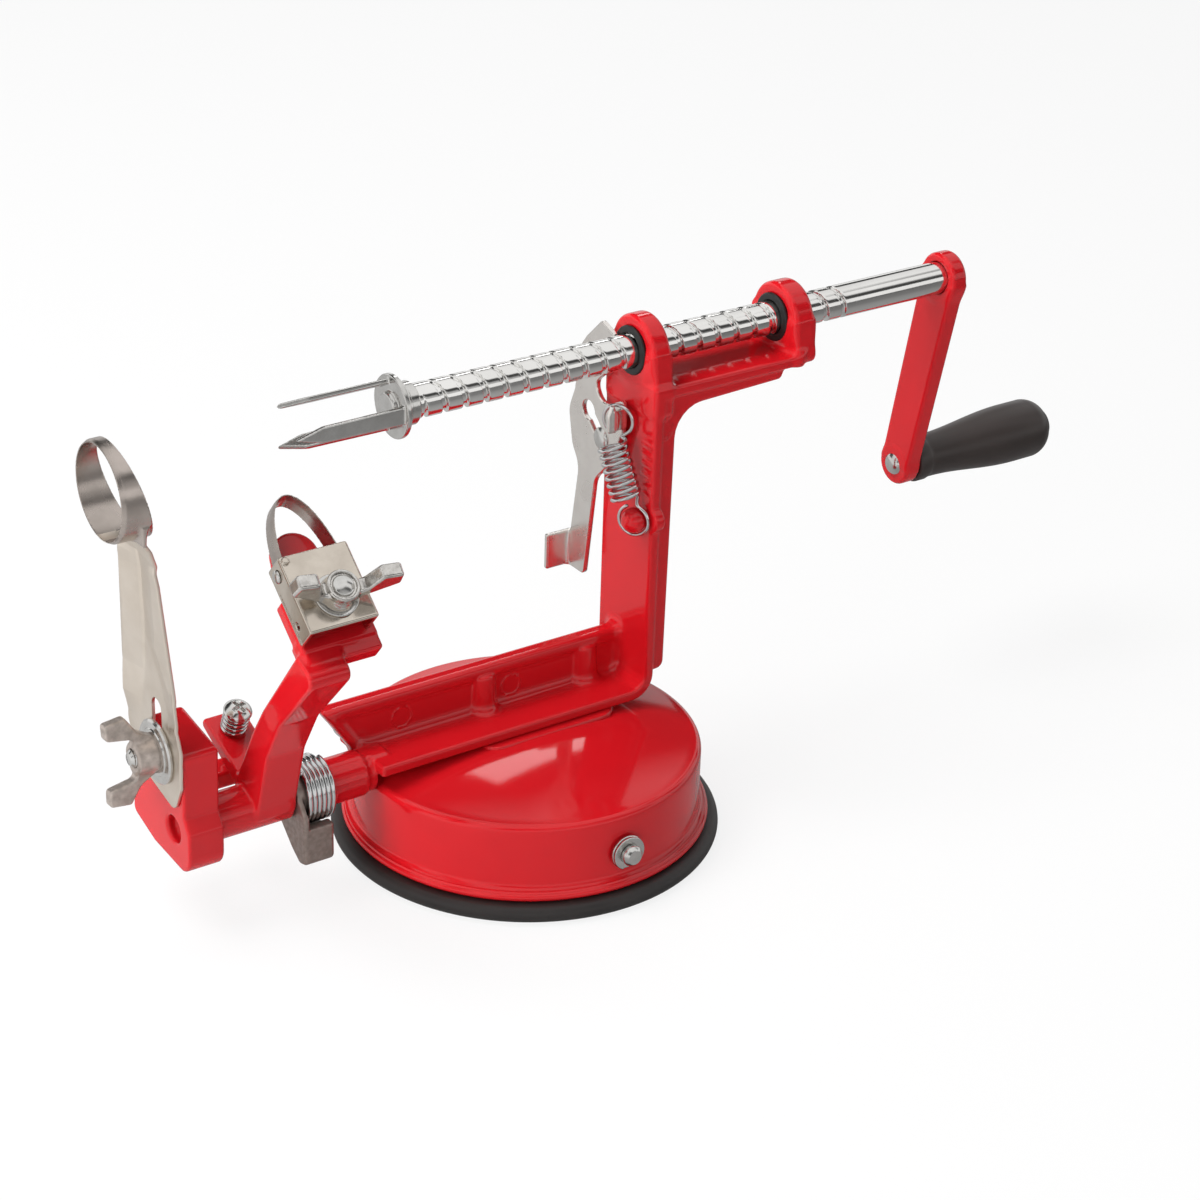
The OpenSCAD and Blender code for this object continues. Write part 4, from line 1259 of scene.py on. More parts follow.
@dataclass
class CastFrame:
    """The red cast frame: foot, upright, arm, two shaft bosses and the pivot rod's boss."""

    mid_y: float = 6.0
    width: float = 24.0
    skin: float = 3.2
    rib: float = 5.2
    inset: float = 1.5
    seat_z: float = 32.0
    front_x: float = 36.3
    foot_len: float = 50.5
    shaft_z: float = 135.5
    boss_r: float = 10.0
    boss_t: tuple[float, float] = (6.2, 7.0)
    span: float = 48.7
    drop: float = 8.1
    web_h: float = 17.0
    web_t: float = 3.3
    web_y: float = 7.55
    web_lean: float = 10.5
    bore_r: float = 6.31
    screw_x: tuple[float, float] = (-9.6, 24.7)
    pivot: tuple[float, float] = (3.1, 30.3)
    boss_span: tuple[float, float] = (64.2, 45.0)
    peg: tuple[float, float, float] = (32.9, -2.3, 88.0)
    peg_r: float = 3.6
    stud: tuple[float, float] = (15.0, 106.0)
    cell: float = 0.62

    def spine(self) -> Solid:
        """Foot, upright and arm as one bent strip, with the rib behind it.

        Returns:
            The solid.
        """
        y0, y1 = self.mid_y - self.width / 2, self.mid_y + self.width / 2
        back = self.front_x + self.skin
        top = self.shaft_z - self.drop
        under = top - self.skin
        end = self.front_x + self.span
        strip = prism(
            Axis.Y, y0, y1,
            rounded([
                (-self.foot_len, self.seat_z, 0.9), (back, self.seat_z, 7), (back, under),
                (end + 2, under), (end + 2, top), (self.front_x, top, 0.4),
                (self.front_x, self.seat_z + self.skin, 4),
                (-self.foot_len, self.seat_z + self.skin, 0.9),
            ]), 0.9,
        )
        deep = back + self.rib
        rib = prism(
            Axis.Y, y0 + self.inset, y1 - self.inset,
            rounded([
                (back - 1.5, self.seat_z + 7), (deep - 0.6, self.seat_z + 7, 2.5),
                (deep + 0.3, under - 4.6, 9), (end - 4, under - 3.4, 1.5),
                (end - 2, under + 1.2), (back - 1.5, under + 1.2),
            ]), 1.3,
        )
        return strip.joined(rib, 1.2)

    def boss(self, x0: float, length: float, foot_z: float) -> Solid:
        """A shaft boss that widens below the shaft to the frame's full width.

        Args:
            x0: Where the boss begins.
            length: Its length along the shaft.
            foot_z: How far down it reaches.

        Returns:
            The solid.
        """
        half, r, y, z = self.width / 2, self.boss_r, self.mid_y, self.shaft_z
        shape = rounded([
            (y - r + 0.1, z + 1), (y - half, z - self.drop, 8), (y - half, foot_z, 2.2),
            (y + half, foot_z, 2.2), (y + half, z - self.drop, 8), (y + r - 0.1, z + 1),
        ])
        body = prism(Axis.X, x0, x0 + length, shape, 1.3)
        return body.joined(rod(Axis.X, x0, x0 + length, r, (y, z), 1.3), 3.0)

    def web(self) -> Solid:
        """The foot's upright web, with its rim, screw bosses and cast circles.

        Returns:
            The solid.
        """
        z0, z1 = self.seat_z + 1, self.seat_z + self.web_h
        x0, x1, lean = -self.foot_len, self.front_x + 1, self.web_lean
        plate = prism(
            Axis.Y, self.web_y, self.web_y + self.web_t,
            [(x0, z0), (x0 - lean, z1), (x1, z1), (x1, z0)], 0.6,
        )
        rim = prism(
            Axis.Y, self.web_y - 1, self.web_y + 4.3,
            rounded([
                (x0 - lean + 3.0, z1 - 3.2, 0.6), (x0 - lean, z1, 1.2), (x1, z1),
                (x1, z1 - 3.2),
            ]), 1.1,
        )
        front = prism(
            Axis.Y, self.web_y - 1, self.web_y + 4.3,
            [(x0 + 3.2, z0), (x0, z0), (x0 - lean, z1 - 0.5), (x0 - lean + 3.6, z1 - 1)], 1.1,
        )
        body = plate.joined(rim, 1.6).joined(front, 1.6)
        mid = self.web_y + self.web_t / 2
        for x in self.screw_x:
            column = rod(Axis.Z, z0, z1 - 2.2, 4.6, (x, mid), 1.2, 4.0)
            body = body.joined(column, 0.5)
        for x in (-36.3, -0.6):
            body = body.joined(
                disc_ring(Axis.Y, self.web_y, (x, self.seat_z + 8.7), 3.1, 0.18), 0.25
            )
        return body

    def casting(self) -> None:
        """The whole casting, with its bores."""
        under = self.shaft_z - self.drop - self.skin
        rear = self.front_x + self.span
        body = self.spine().joined(self.web(), 3.4)
        body = body.joined(self.boss(self.front_x, self.boss_t[0], under - 6), 1.6)
        body = body.joined(self.boss(rear, self.boss_t[1], under), 2.6)
        y, z = self.pivot
        body = body.joined(rod(Axis.X, -self.boss_span[0], -52.8, 6.5, (y, z), 0.9), 0.6)
        body = body.joined(rod(Axis.X, -54.5, -self.boss_span[1], 5.8, (y, z), 0.6), 1.2)
        px, py, pz = self.peg
        body = body.joined(rod(Axis.X, px, px + 5, self.peg_r - 1.1, (py, pz), 0.4), 1.4)
        body = body.joined(ball(self.peg, self.peg_r))
        low_y = self.mid_y - self.width / 2
        body = body.joined(
            rod(Axis.X, self.front_x, self.front_x + 3.4, 3.6, (low_y + 1.2, pz), 0.8), 0.8
        )
        sy, sz = self.stud
        body = body.joined(rod(Axis.X, self.front_x - 1.4, self.front_x + 1, 4, (sy, sz), 0.5), 0.8)
        body = body.joined(
            disc_ring(Axis.Y, low_y + self.inset, (self.front_x + 3.9, 114.3), 3.0, 0.24), 0.3
        )
        for n in range(4):
            spot = (self.front_x + 0.45, 101.5 + 2.9 * n)
            body = body.joined(rod(Axis.Y, low_y + 0.8, low_y + 5.5, 0.5, spot, 0.4), 0.9)
        for x0, length in zip((self.front_x, rear), self.boss_t):
            shaft = (self.mid_y, self.shaft_z)
            body = body.bored(Axis.X, x0 - 2, x0 + length + 2, self.bore_r, shaft, ease=0.9)
        body = body.bored(Axis.X, -66.0, -50.0, 3.22, (y, z), ease=0.5)
        body = body.bored(Axis.Z, 10.0, self.seat_z - 0.2, 49.95, (0.0, 0.0), ease=0.3)
        obj = cast("frame_casting", body, self.cell)
        dress(obj, POWDER_RED, Body.BASE, "red_paint", "frame")

    def rod(self) -> None:
        """The steel rod that the peeling arm turns on."""
        z0, z1 = span("pivot_rod", Axis.Z)
        r, (x0, x1) = (z1 - z0) / 2, span("pivot_rod", Axis.X)
        profile = [(0.0, x0), (r - 0.7, x0), (r, x0 + 0.7), (r, x1 - 0.4), (r - 0.4, x1), (0.0, x1)]
        obj = spun("arm_pivot_rod", profile, Axis.X, self.pivot, 48)
        dress(obj, PLATED, Body.BASE, "bright_steel", "pivot_rod")

    def build(self) -> None:
        """Builds and dresses the frame."""
        self.casting()
        self.rod()


def wing_nut_solid(
    bore_r: float, hub: tuple[float, float], width: float, wing: tuple[float, float],
    stance: float,
) -> Solid:
    """A cast wing nut on the plane z = 0, its wings along x.

    Args:
        bore_r: Radius of its hole.
        hub: Radius and height of its hub.
        width: Width over the wings.
        wing: Thickness and height of a wing.
        stance: Height at which a wing's root leaves the hub.

    Returns:
        The solid, in its own frame.
    """
    hub_r, hub_h = hub
    wing_t, wing_h = wing
    body = rod(Axis.Z, 0.0, hub_h, hub_r, (0.0, 0.0), 0.7, hub_r - 0.9)
    half = width / 2
    for s in (-1.0, 1.0):
        root, tip = s * (hub_r - 1.8), s * half
        shape = [
            (root, 0.4), (s * (hub_r + 0.2), 0.5, 0.8), (s * half * 0.62, stance * 0.58, 2.4),
            (tip, wing_h * 0.56, 0.9), (tip - s * 0.7, wing_h, 1.0),
            (tip - s * half * 0.42, wing_h - 0.2, 1.2), (s * (hub_r + 0.5), hub_h * 0.85, 2.2),
            (root, hub_h - 0.3),
        ]
        leaf = prism(Axis.Y, -wing_t / 2, wing_t / 2, rounded(shape), wing_t * 0.2)
        body = body.joined(leaf, 1.3)
    return body.bored(Axis.Z, -2.0, max(hub_h, wing_h) + 2, bore_r, (0.0, 0.0), ease=0.5)


def threaded(
    start: float, end: float, radius: float, pitch: float, sides: int = 40
) -> tuple[np.ndarray, list[list[int]]]:
    """Points and faces of a screw thread along X round the origin, closed at both ends.

    Args:
        start: Where the thread begins.
        end: Where it ends.
        radius: Outer radius.
        pitch: Rise in a turn.
        sides: Faces round it.

    Returns:
        Points in millimetres and faces.
    """
    count = max(int((end - start) / pitch * 8), 8)
    x, a = np.meshgrid(
        np.linspace(start, end, count), np.arange(sides) * 2 * math.pi / sides, indexing="ij"
    )
    phase = (x / pitch + a / (2 * math.pi)) % 1.0
    depth = pitch * 0.42 * np.clip(1.15 * np.abs(2 * phase - 1) - 0.12, 0.0, 0.9)
    away = np.minimum(x - start, end - x)
    bevel = np.clip(0.8 - away, 0.0, 0.8)
    r = radius - np.maximum(depth * np.clip(away / 0.5, 0.2, 1.0), bevel)
    points = np.stack([x, r * np.cos(a), r * np.sin(a)], -1).reshape(-1, 3)
    return points, tube_faces(count, sides)


@dataclass
class Corer:
    """The bracket on the pivot rod, the coring blade bolted to it, and the wing nut."""

    bracket_x: float = 109.4
    bracket_t: float = 10.5
    pivot: tuple[float, float] = (3.1, 30.3)
    bolt: tuple[float, float] = (7.8, 52.2)
    blade_t: float = 1.1
    neck_z: float = 73.8
    ring_r: float = 13.4
    ring_t: float = 0.9
    ring_len: float = 6.6
    ring_x: float = 126.0
    ring_slant: float = 15.0
    ring: tuple[float, float] = (2.5, 132.8)
    crease_left: tuple[tuple[float, float], ...] = (
        (59.1, 16.9), (86.8, 10.0), (91.8, 8.6), (99.4, 7.5), (113.0, 5.0),
    )
    crease_right: tuple[tuple[float, float], ...] = (
        (66.6, 1.3), (86.8, 10.0), (91.8, 8.6), (99.4, 7.5), (113.0, 5.0),
    )
    fold: float = 0.2
    fold_z: tuple[float, float] = (57.0, 7.0)
    ledge_t: float = 5.0
    pivot_hole: float = 3.2
    nose_hole: float = 3.75
    bolt_hole: float = 2.62
    bolt_recess: float = 4.4
    bolt_head: tuple[float, float] = (4.3, 2.8)
    arm_x: float = 82.0
    arm_w: float = 12.0
    screw_y: float = 21.0

    @property
    def blade_x(self) -> float:
        """How far in front of the frame's middle the blade's plate ends."""
        return self.bracket_x + self.blade_t

    def bracket(self) -> None:
        """The red cast bracket, with the ledge that the arm's depth screw rests on."""
        y, z = self.pivot
        x0 = -self.bracket_x
        back = x0 + self.bracket_t
        body = prism(
            Axis.X, x0, back,
            rounded([
                (y - 7.4, 55.5, 1.5), (y - 6.6, 36.4, 1.2), (y - 9.2, 32.4, 2),
                (y - 8.9, 21.0, 6), (y - 4.5, 19.4, 3), (y + 11.7, 20.5, 4),
                (y + 24, 24.4, 2.5), (y + 22.5, 33.5, 2.5), (y + 16, 41, 5),
                (y + 14.5, 58.8, 2.6),
            ]), 0.8,
        )
        body = body.joined(
            block(
                (back - 3, self.screw_y - 1.5, z - 3.3),
                (-self.arm_x + self.arm_w / 2, self.screw_y + 6.5, z - 3.3 + self.ledge_t), 0.9,
            ), 2.0,
        )
        body = body.bored(Axis.X, x0 + 2, back + 2, self.pivot_hole, self.pivot, ease=0.5)
        body = body.less(rod(Axis.X, x0 - 2, x0 + 2.6, self.nose_hole, self.pivot, 0.3), 1.1)
        body = body.bored(Axis.X, x0 - 2, back + 2, self.bolt_hole, self.bolt, ease=0.4)
        body = body.bored(Axis.X, back - 3, back + 2, self.bolt_recess, self.bolt, ease=0.2)
        obj = cast("corer_bracket", body, 0.5)
        dress(obj, POWDER_RED, Body.BASE, "red_paint", "blade_bracket")

    def plate(self) -> Solid:
        """The blade's sheet: its plate, the creased neck and the foot under the ring.

        Returns:
            The solid.
        """
        ry, rz = self.ring
        top = rz - self.ring_r + 1.5
        neck_top = rz - self.ring_r - 2
        x0 = -self.blade_x
        x1, x2 = x0 - 4, -self.ring_x + self.ring_len - 0.4
        t = self.blade_t
        face = prism(
            Axis.X, -self.ring_x - 1, x0 + 12,
            rounded([
                (-4.2, 46, 2.5), (-0.5, 38, 3), (14, 41.5, 5), (25.4, 53, 6),
                (22.8, self.neck_z + 2, 40), (ry + 12.0, neck_top - 7, 8),
                (ry + 7.5, neck_top + 1, 4), (ry + 7.5, rz - self.ring_r / 2),
                (ry - 12, rz - self.ring_r / 2), (ry - 9.0, neck_top - 5, 9),
                (-6.0, self.neck_z + 2, 24),
            ], 10), 0.0,
        )
        knots = np.array([
            (30.0, x0), (self.neck_z, x0), (self.neck_z + 6, x0 - 0.6),
            (neck_top - 10, x1 + 0.5), (neck_top - 4, x1 - 0.6), (top, x2), (top + 6, x2 - 0.2),
        ])
        half = t / 2

        def pressed(p: np.ndarray) -> np.ndarray:
            """Distance to the sheet, which is dished between its creases.

            Args:
                p: Points, one a row.

            Returns:
                The distances.
            """
            front = np.interp(p[:, 2], knots[:, 0], knots[:, 1])
            slope = np.interp(p[:, 2] + 1, knots[:, 0], knots[:, 1]) - np.interp(
                p[:, 2] - 1, knots[:, 0], knots[:, 1]
            )
            lean = 1.0 / np.sqrt(1.0 + (slope / 2) ** 2)
            y, z = p[:, 1], p[:, 2]
            left = np.interp(z, *zip(*self.crease_left))
            right = np.interp(z, *zip(*self.crease_right))
            past = np.maximum(np.maximum(y - left, right - y), 0.0)
            start, reach = self.fold_z
            fade = np.clip((z - start) / reach, 0, 1) * np.clip((neck_top + 1 - z) / 7, 0, 1)
            fold = self.fold * np.minimum(past, 9.0)
            mark = 0.3 * np.exp(-((past - 0.25) / 0.5) ** 2)
            mark *= np.clip((z - self.neck_z) / 4, 0, 1)
            return np.abs((p[:, 0] - front - half + (fold - mark) * fade) * lean) - half

        sheet = local(pressed, (-self.ring_x - 1, -14.0, 36.0), (x0 + 3.0, 28.0, rz - 4))
        return sheet.within(face, 0.35)

    def blade(self) -> None:
        """The coring blade: a sheet with a slanted ring at its top."""
        ry, rz = self.ring
        x0, r, t = -self.ring_x, self.ring_r, self.ring_t
        lean = math.tan(math.radians(self.ring_slant))

        def band(p: np.ndarray) -> np.ndarray:
            """Distance to the ring, whose back is cut on a slant and whose front is ground.

            Args:
                p: Points, one a row.

            Returns:
                The distances.
            """
            out = np.hypot(p[:, 1] - ry, p[:, 2] - rz)
            wall = np.abs(out - r + t / 2) - t / 2
            back = p[:, 0] - (x0 + 3.4 + (rz + r - p[:, 2]) * lean)
            end = np.maximum(x0 - p[:, 0], back * math.cos(math.radians(self.ring_slant)))
            keen = (x0 - p[:, 0]) * 0.45 + (out - r + t * 0.62) * 0.89
            return np.maximum(np.maximum(wall, end), keen)

        ring = local(
            band, (x0, ry - r, rz - r), (x0 + 3.4 + 2 * r * lean + 0.5, ry + r, rz + r)
        )
        body = self.plate().joined(ring, 1.6)
        body = body.bored(Axis.X, x0 - 2, -90.0, r - t, (ry, rz), ease=0.15)
        by, bz = self.bolt
        slot = prism(
            Axis.X, -self.blade_x - 5, -self.blade_x + 5,
            oblong((by - 2.7, by + 2.7), (bz - 2.7, bz + 15.7), 2.69), 0.0,
        )
        obj = cast("coring_blade", body.less(slot, 0.3), 0.30)
        dress(obj, BLADE_STEEL, Body.CORER, "bright_steel", "corer_slicer_blade")
        # Faces above a height just over the ring's bottom take the darker ring finish. That covers
        # the ring itself and the top of the neck, where the darker tone is painted shade near the
        # ring.
        obj.data.materials.append(RING_STEEL_AND_SHADE.material())
        for face in obj.data.polygons:
            face.material_index = int(face.center.z > (rz - r + 1.0) * MM)

    def fasteners(self) -> None:
        """The bolt with its thread, the washer and the wing nut."""
        by, bz = self.bolt
        x0, x1 = span("corer_bolt", Axis.X)
        head_r, head_t = self.bolt_head
        head = x1 - head_t
        points, faces = threaded(x0, head + 0.5, THREAD_R, THREAD_PITCH)
        thread = make_mesh("corer_bolt_thread", points + [0.0, by, bz], faces)
        dress(thread, PLATED, Body.BASE, "bright_steel", "corer_bolt")
        profile = [(0.0, head), (head_r - 0.7, head), (head_r, head + 0.7), (head_r, head + 2.2)]
        profile += [(head_r - 0.5, head + head_t), (0.0, head + head_t)]
        obj = spun("corer_bolt_head", profile, Axis.X, self.bolt, 48)
        dress(obj, PLATED, Body.BASE, "bright_steel")
        x0, x1 = span("corer_washer", Axis.X)
        y0, y1 = span("corer_washer", Axis.Y)
        r = (y1 - y0) / 2
        profile = [(2.7, x0 + 0.2), (2.95, x0), (r - 0.5, x0), (r, x0 + 0.45), (r, x1 - 0.3)]
        profile += [(r - 0.3, x1), (2.7, x1)]
        obj = spun("corer_washer_disc", profile, Axis.X, self.bolt, 96)
        dress(obj, PLATED, Body.BASE, "bright_steel", "corer_washer")
        profile = [(2.7, x0), (2.7, x0 - 0.3), (r - 3.3, x0 - 0.55), (r - 2.5, x0 - 0.3)]
        profile += [(r - 2.3, x0)]
        obj = spun("corer_spring_washer", profile, Axis.X, self.bolt, 96)
        dress(obj, PLATED, Body.BASE, "bright_steel")
        nut = wing_nut_solid(THREAD_R, (5.2, 6.0), 25.0, (3.4, 13.9), 8.0)
        place = posed((x0 - 0.08, by, bz), (-90, "Y"), (4, "Z"))
        obj = cast("corer_wing_nut_cast", nut.placed(place), 0.34)
        dress(obj, DULL_ZINC, Body.CORER_NUT, "cast_zinc", "corer_wing_nut")

    def build(self) -> None:
        """Builds and dresses the corer."""
        self.bracket()
        self.blade()
        self.fasteners()


@dataclass
class PeelingArm:
    """The sprung arm with its tray, blade holder, peeling blade, depth screw and latch."""

    arm_x: float = 82.0
    arm_w: float = 12.0
    pivot: tuple[float, float] = (3.1, 30.3)
    pivot_r: float = 3.175
    hub_r: float = 6.4
    hub_x: tuple[float, float] = (-98.75, -76.0)
    tray: tuple[float, float, float] = (-76.2, -31.8, 98.1)
    tray_lean: float = 40.0
    tray_t: float = 4.5
    holder: tuple[float, float, float] = (20.0, 22.0, 8.6)
    holder_t: float = 1.2
    bolt: tuple[float, float] = (0.7, 8.0)
    bolt_hole: float = 2.65
    rivet_r: float = 1.3
    rivet_back: float = 3.5
    arch_w: float = 6.0
    arch_t: float = 0.8
    arch_out: float = 17.0
    screw: tuple[float, float, float] = (-82.0, 21.0, 42.5)
    screw_lean: float = 23.5
    screw_coil: tuple[float, float] = (3.2, 0.56)
    screw_coil_z: tuple[float, float] = (2.5, 9.0)
    screw_turns: int = 4
    spring_r: float = 8.6
    spring_wire: float = 0.70
    spring_turns: int = 6

    @property
    def at_tray(self) -> Matrix:
        """Place of the tray's own frame: x across it, y along it, z out of it."""
        return posed(self.tray, (self.tray_lean, "X"))

    @property
    def rivet(self) -> tuple[float, float]:
        """Place of the rivets' axis in the tray's frame (y, z)."""
        return self.holder[1] - self.rivet_back, -self.holder[2] / 2

    @property
    def at_screw(self) -> Matrix:
        """Place of the depth screw's own frame, its axis along z."""
        return posed(self.screw, (self.screw_lean, "X"))

    def arm(self) -> None:
        """The red cast arm with its hub, lug and tray."""
        y, z = self.pivot
        x0, x1 = -self.arm_x - self.arm_w / 2, -self.arm_x + self.arm_w / 2
        under = -self.holder[2]
        body = rod(Axis.X, self.hub_x[0], self.hub_x[1], self.hub_r, self.pivot, 0.8)
        limb = prism(
            Axis.X, x0, x1,
            rounded([
                (y - 6.2, z - 1), (-9.5, 51.4, 12), (-17.2, 64.8, 10), (-36.5, 86.2, 3),
                (-26.5, 89.5), (-7.9, 65.3, 10), (-1.4, 55.2, 10), (y + 5, z + 6.5),
            ]), 0.9,
        )
        lug = prism(
            Axis.X, x0, x1,
            rounded([
                (y + 3, z + 2), (y + 2, z + 8), (y + 5, z + 9.4, 1.5), (26.2, 46.8, 1.5),
                (27.4, 44, 1.5), (y + 5, z + 4),
            ]), 0.9,
        )
        body = body.joined(limb, 1.2).joined(lug, 1.0)
        low, high = under - self.tray_t, under - 0.2
        shelf = block((-9.8, -5.5, low - 1.8), (12, 2.5, high), 0.9)
        bed = block((-9.8, -1.5, low - 0.2), (12, 13.5, high), 0.8)
        tongue = block((-6.5, 12, low - 0.2), (6.5, self.holder[1] + 3.0, high), 0.8)
        tip = rod(Axis.Z, low - 0.2, high, 6.4, (0.0, self.holder[1] + 3.0), 1.2)
        seat = shelf.joined(bed, 0.8).joined(tongue, 1.2).joined(tip, 0.8)
        body = body.joined(seat.placed(self.at_tray), 1.6)
        body = body.bored(Axis.X, -101.0, -71.0, self.pivot_r + 0.1, self.pivot, ease=0.6)
        hole = rod(Axis.Z, -6.0, 6.0, 2.1, (0.0, 0.0), 0.0).placed(self.at_screw)
        body = body.less(hole, 0.4)
        hole = rod(Axis.Z, low - 6, high + 2, self.bolt_hole, self.bolt, 0.0)
        sink = rod(Axis.Z, low - 6, low + 2.5, 4.7, self.bolt, 0.0)
        body = body.less(hole.placed(self.at_tray), 0.4).less(sink.placed(self.at_tray), 0.6)
        obj = cast("peeling_arm", body, 0.5)
        dress(obj, POWDER_RED, Body.ARM, "red_paint", "peel_arm")

    def blade_holder(self) -> None:
        """The pressed channel that holds the peeling blade, with its slot and side holes."""
        width, length, h = self.holder
        t, half = self.holder_t, width / 2
        body = block((-half, 0.0, -h), (half, length, 0.0), 0.7)
        body = body.less(block((-half + t, -4.0, -h - 4), (half - t, length + 4, -t), 0.5), 0.25)
        v, u = self.bolt
        slot = oblong((v - 2.72, v + 2.72), (u - 5.9, u + 5.9), 2.7)
        body = body.less(prism(Axis.Z, -h - 2, 3.0, slot, 0.0), 0.35)
        body = body.bored(Axis.X, -half - 3, half + 3, self.rivet_r, self.rivet, ease=0.3)
        body = body.bored(Axis.X, -half - 3, -half + 3, 0.95, (4.6, -h * 0.62), ease=0.3)
        stud = rod(Axis.Z, -1.0, 0.75, 1.0, (-half + 1.5, length - 1.6), 0.45)
        body = body.joined(stud, 0.25)
        seam = block((-half - 1.0, -2.0, -h + 1.5), (-half + 0.12, length - 7.5, -h + 1.75), 0.05)
        body = body.less(seam, 0.15)
        obj = cast("blade_holder_channel", body.placed(self.at_tray), 0.36)
        dress(obj, WARM_NICKEL, Body.HOLDER, "nickel", "blade_holder")

    def blade(self) -> None:
        """The peeling blade: a thin strip in a long arch with one ground edge."""
        w, length, h = self.holder
        r, t = w / 2 - self.holder_t - 0.1, self.arch_t
        u0 = length - 6.5
        reach = length + self.arch_out - u0
        low = -h + (h - self.holder_t - self.arch_w) / 2
        high = low + self.arch_w

        def strip(p: np.ndarray) -> np.ndarray:
            """Distance to the arch, which tapers to its keen upper edge.

            Args:
                p: Points, one a row.

            Returns:
                The distances.
            """
            m = r - t / 2
            n = reach - t / 2
            q = np.hypot(p[:, 0] / m, np.maximum(p[:, 1] - u0, 0.0) / n)
            steep = np.hypot(p[:, 0] / m**2, np.maximum(p[:, 1] - u0, 0.0) / n**2)
            off = (q - 1.0) * q / np.maximum(steep, TINY)
            away = (high - p[:, 2]).clip(0.0, 2.2) / 2.2
            keen = t * (0.35 + 0.65 * away)
            wall = np.abs(off) - keen / 2
            side = np.maximum(low - p[:, 2], p[:, 2] - high)
            return np.maximum(np.maximum(wall * 0.93, side), u0 - p[:, 1])

        arch = local(strip, (-r - 0.1, u0, low), (r + 0.1, u0 + reach + 0.1, high))
        hole = rod(Axis.X, -w, w, self.rivet_r, self.rivet, 0.0)
        obj = cast("peeling_blade", arch.less(hole, 0.0).placed(self.at_tray), 0.27)
        dress(obj, RING_STEEL_AND_SHADE, Body.HOLDER, "bright_steel", "peel_blade")

    def rivets(self) -> None:
        """The two rivets through the holder's sides, domed outside."""
        w = self.holder[0]
        inner = w / 2 - self.holder_t - self.arch_t - 1.1
        both: Solid | None = None
        for s in (-1.0, 1.0):
            ends_x = sorted((s * inner, s * (w / 2 + 0.2)))
            stem = rod(Axis.X, *ends_x, self.rivet_r - 0.1, self.rivet, 0.1)
            head = ball((s * (w / 2 - 1.4), *self.rivet), 2.55)
            cap = sorted((s * (w / 2 + 0.06), s * (w / 2 + 1.0)))
            head = head.within(rod(Axis.X, *cap, 1.85, self.rivet, 0.1), 0.2)
            foot_x = sorted((s * inner, s * (inner + 0.7)))
            foot = rod(Axis.X, *foot_x, 1.7, self.rivet, 0.25)
            one = stem.joined(head, 0.1).joined(foot, 0.1)
            both = one if both is None else both.joined(one)
        obj = cast("holder_rivet_pair", both.placed(self.at_tray), 0.24)
        dress(obj, PLATED, Body.HOLDER, "bright_steel", "holder_rivets")

    def clamp(self) -> None:
        """The bolt through the tray, its washer and its wing nut."""
        h = self.holder[2]
        v, u = self.bolt
        z0 = -h - self.tray_t - 0.2
        end = z0 + h + self.tray_t + 6.6
        points, faces = threaded(z0 + 1.0, end, THREAD_R, THREAD_PITCH)
        upright = np.stack([-points[:, 2] + v, points[:, 1] + u, points[:, 0]], -1)
        thread = make_mesh("holder_bolt_thread", moved(upright, self.at_tray), faces)
        dress(thread, PLATED, Body.ARM, "bright_steel", "holder_bolt")
        tip = ball((v, u, 1.0), 6.1).within(rod(Axis.Z, 4.0, 8.0, 3.0, (v, u), 0.3), 0.4)
        obj = cast("holder_bolt_tip", tip.placed(self.at_tray), 0.3)
        dress(obj, PLATED, Body.ARM, "bright_steel")
        head = rod(Axis.Z, z0, z0 + 2.3, 4.3, (v, u), 0.6)
        obj = cast("holder_bolt_head", head.placed(self.at_tray), 0.4)
        dress(obj, PLATED, Body.ARM, "bright_steel")
        disc = rod(Axis.Z, 0.02, 0.8, 6.0, (v, u), 0.25)
        disc = disc.bored(Axis.Z, -2.0, 3.0, self.bolt_hole, self.bolt, ease=0.15)
        obj = cast("holder_washer_disc", disc.placed(self.at_tray), 0.3)
        dress(obj, PLATED, Body.ARM, "bright_steel", "holder_washer")
        nut = wing_nut_solid(THREAD_R, (5.2, 4.6), 30.0, (4.0, 11.4), 5.0)
        collar = rod(Axis.Z, 3.6, 5.7, 4.5, (0.0, 0.0), 0.5)
        nut = nut.joined(collar.bored(Axis.Z, 5.0, 8.0, 3.5, (0.0, 0.0), ease=0.3), 0.4)
        place = self.at_tray @ posed((v, u, 0.86), (-7, "Z"))
        obj = cast("holder_wing_nut_cast", nut.placed(place), 0.34)
        dress(obj, BRIGHT_ZINC, Body.HOLDER_NUT, "cast_zinc", "holder_wing_nut")

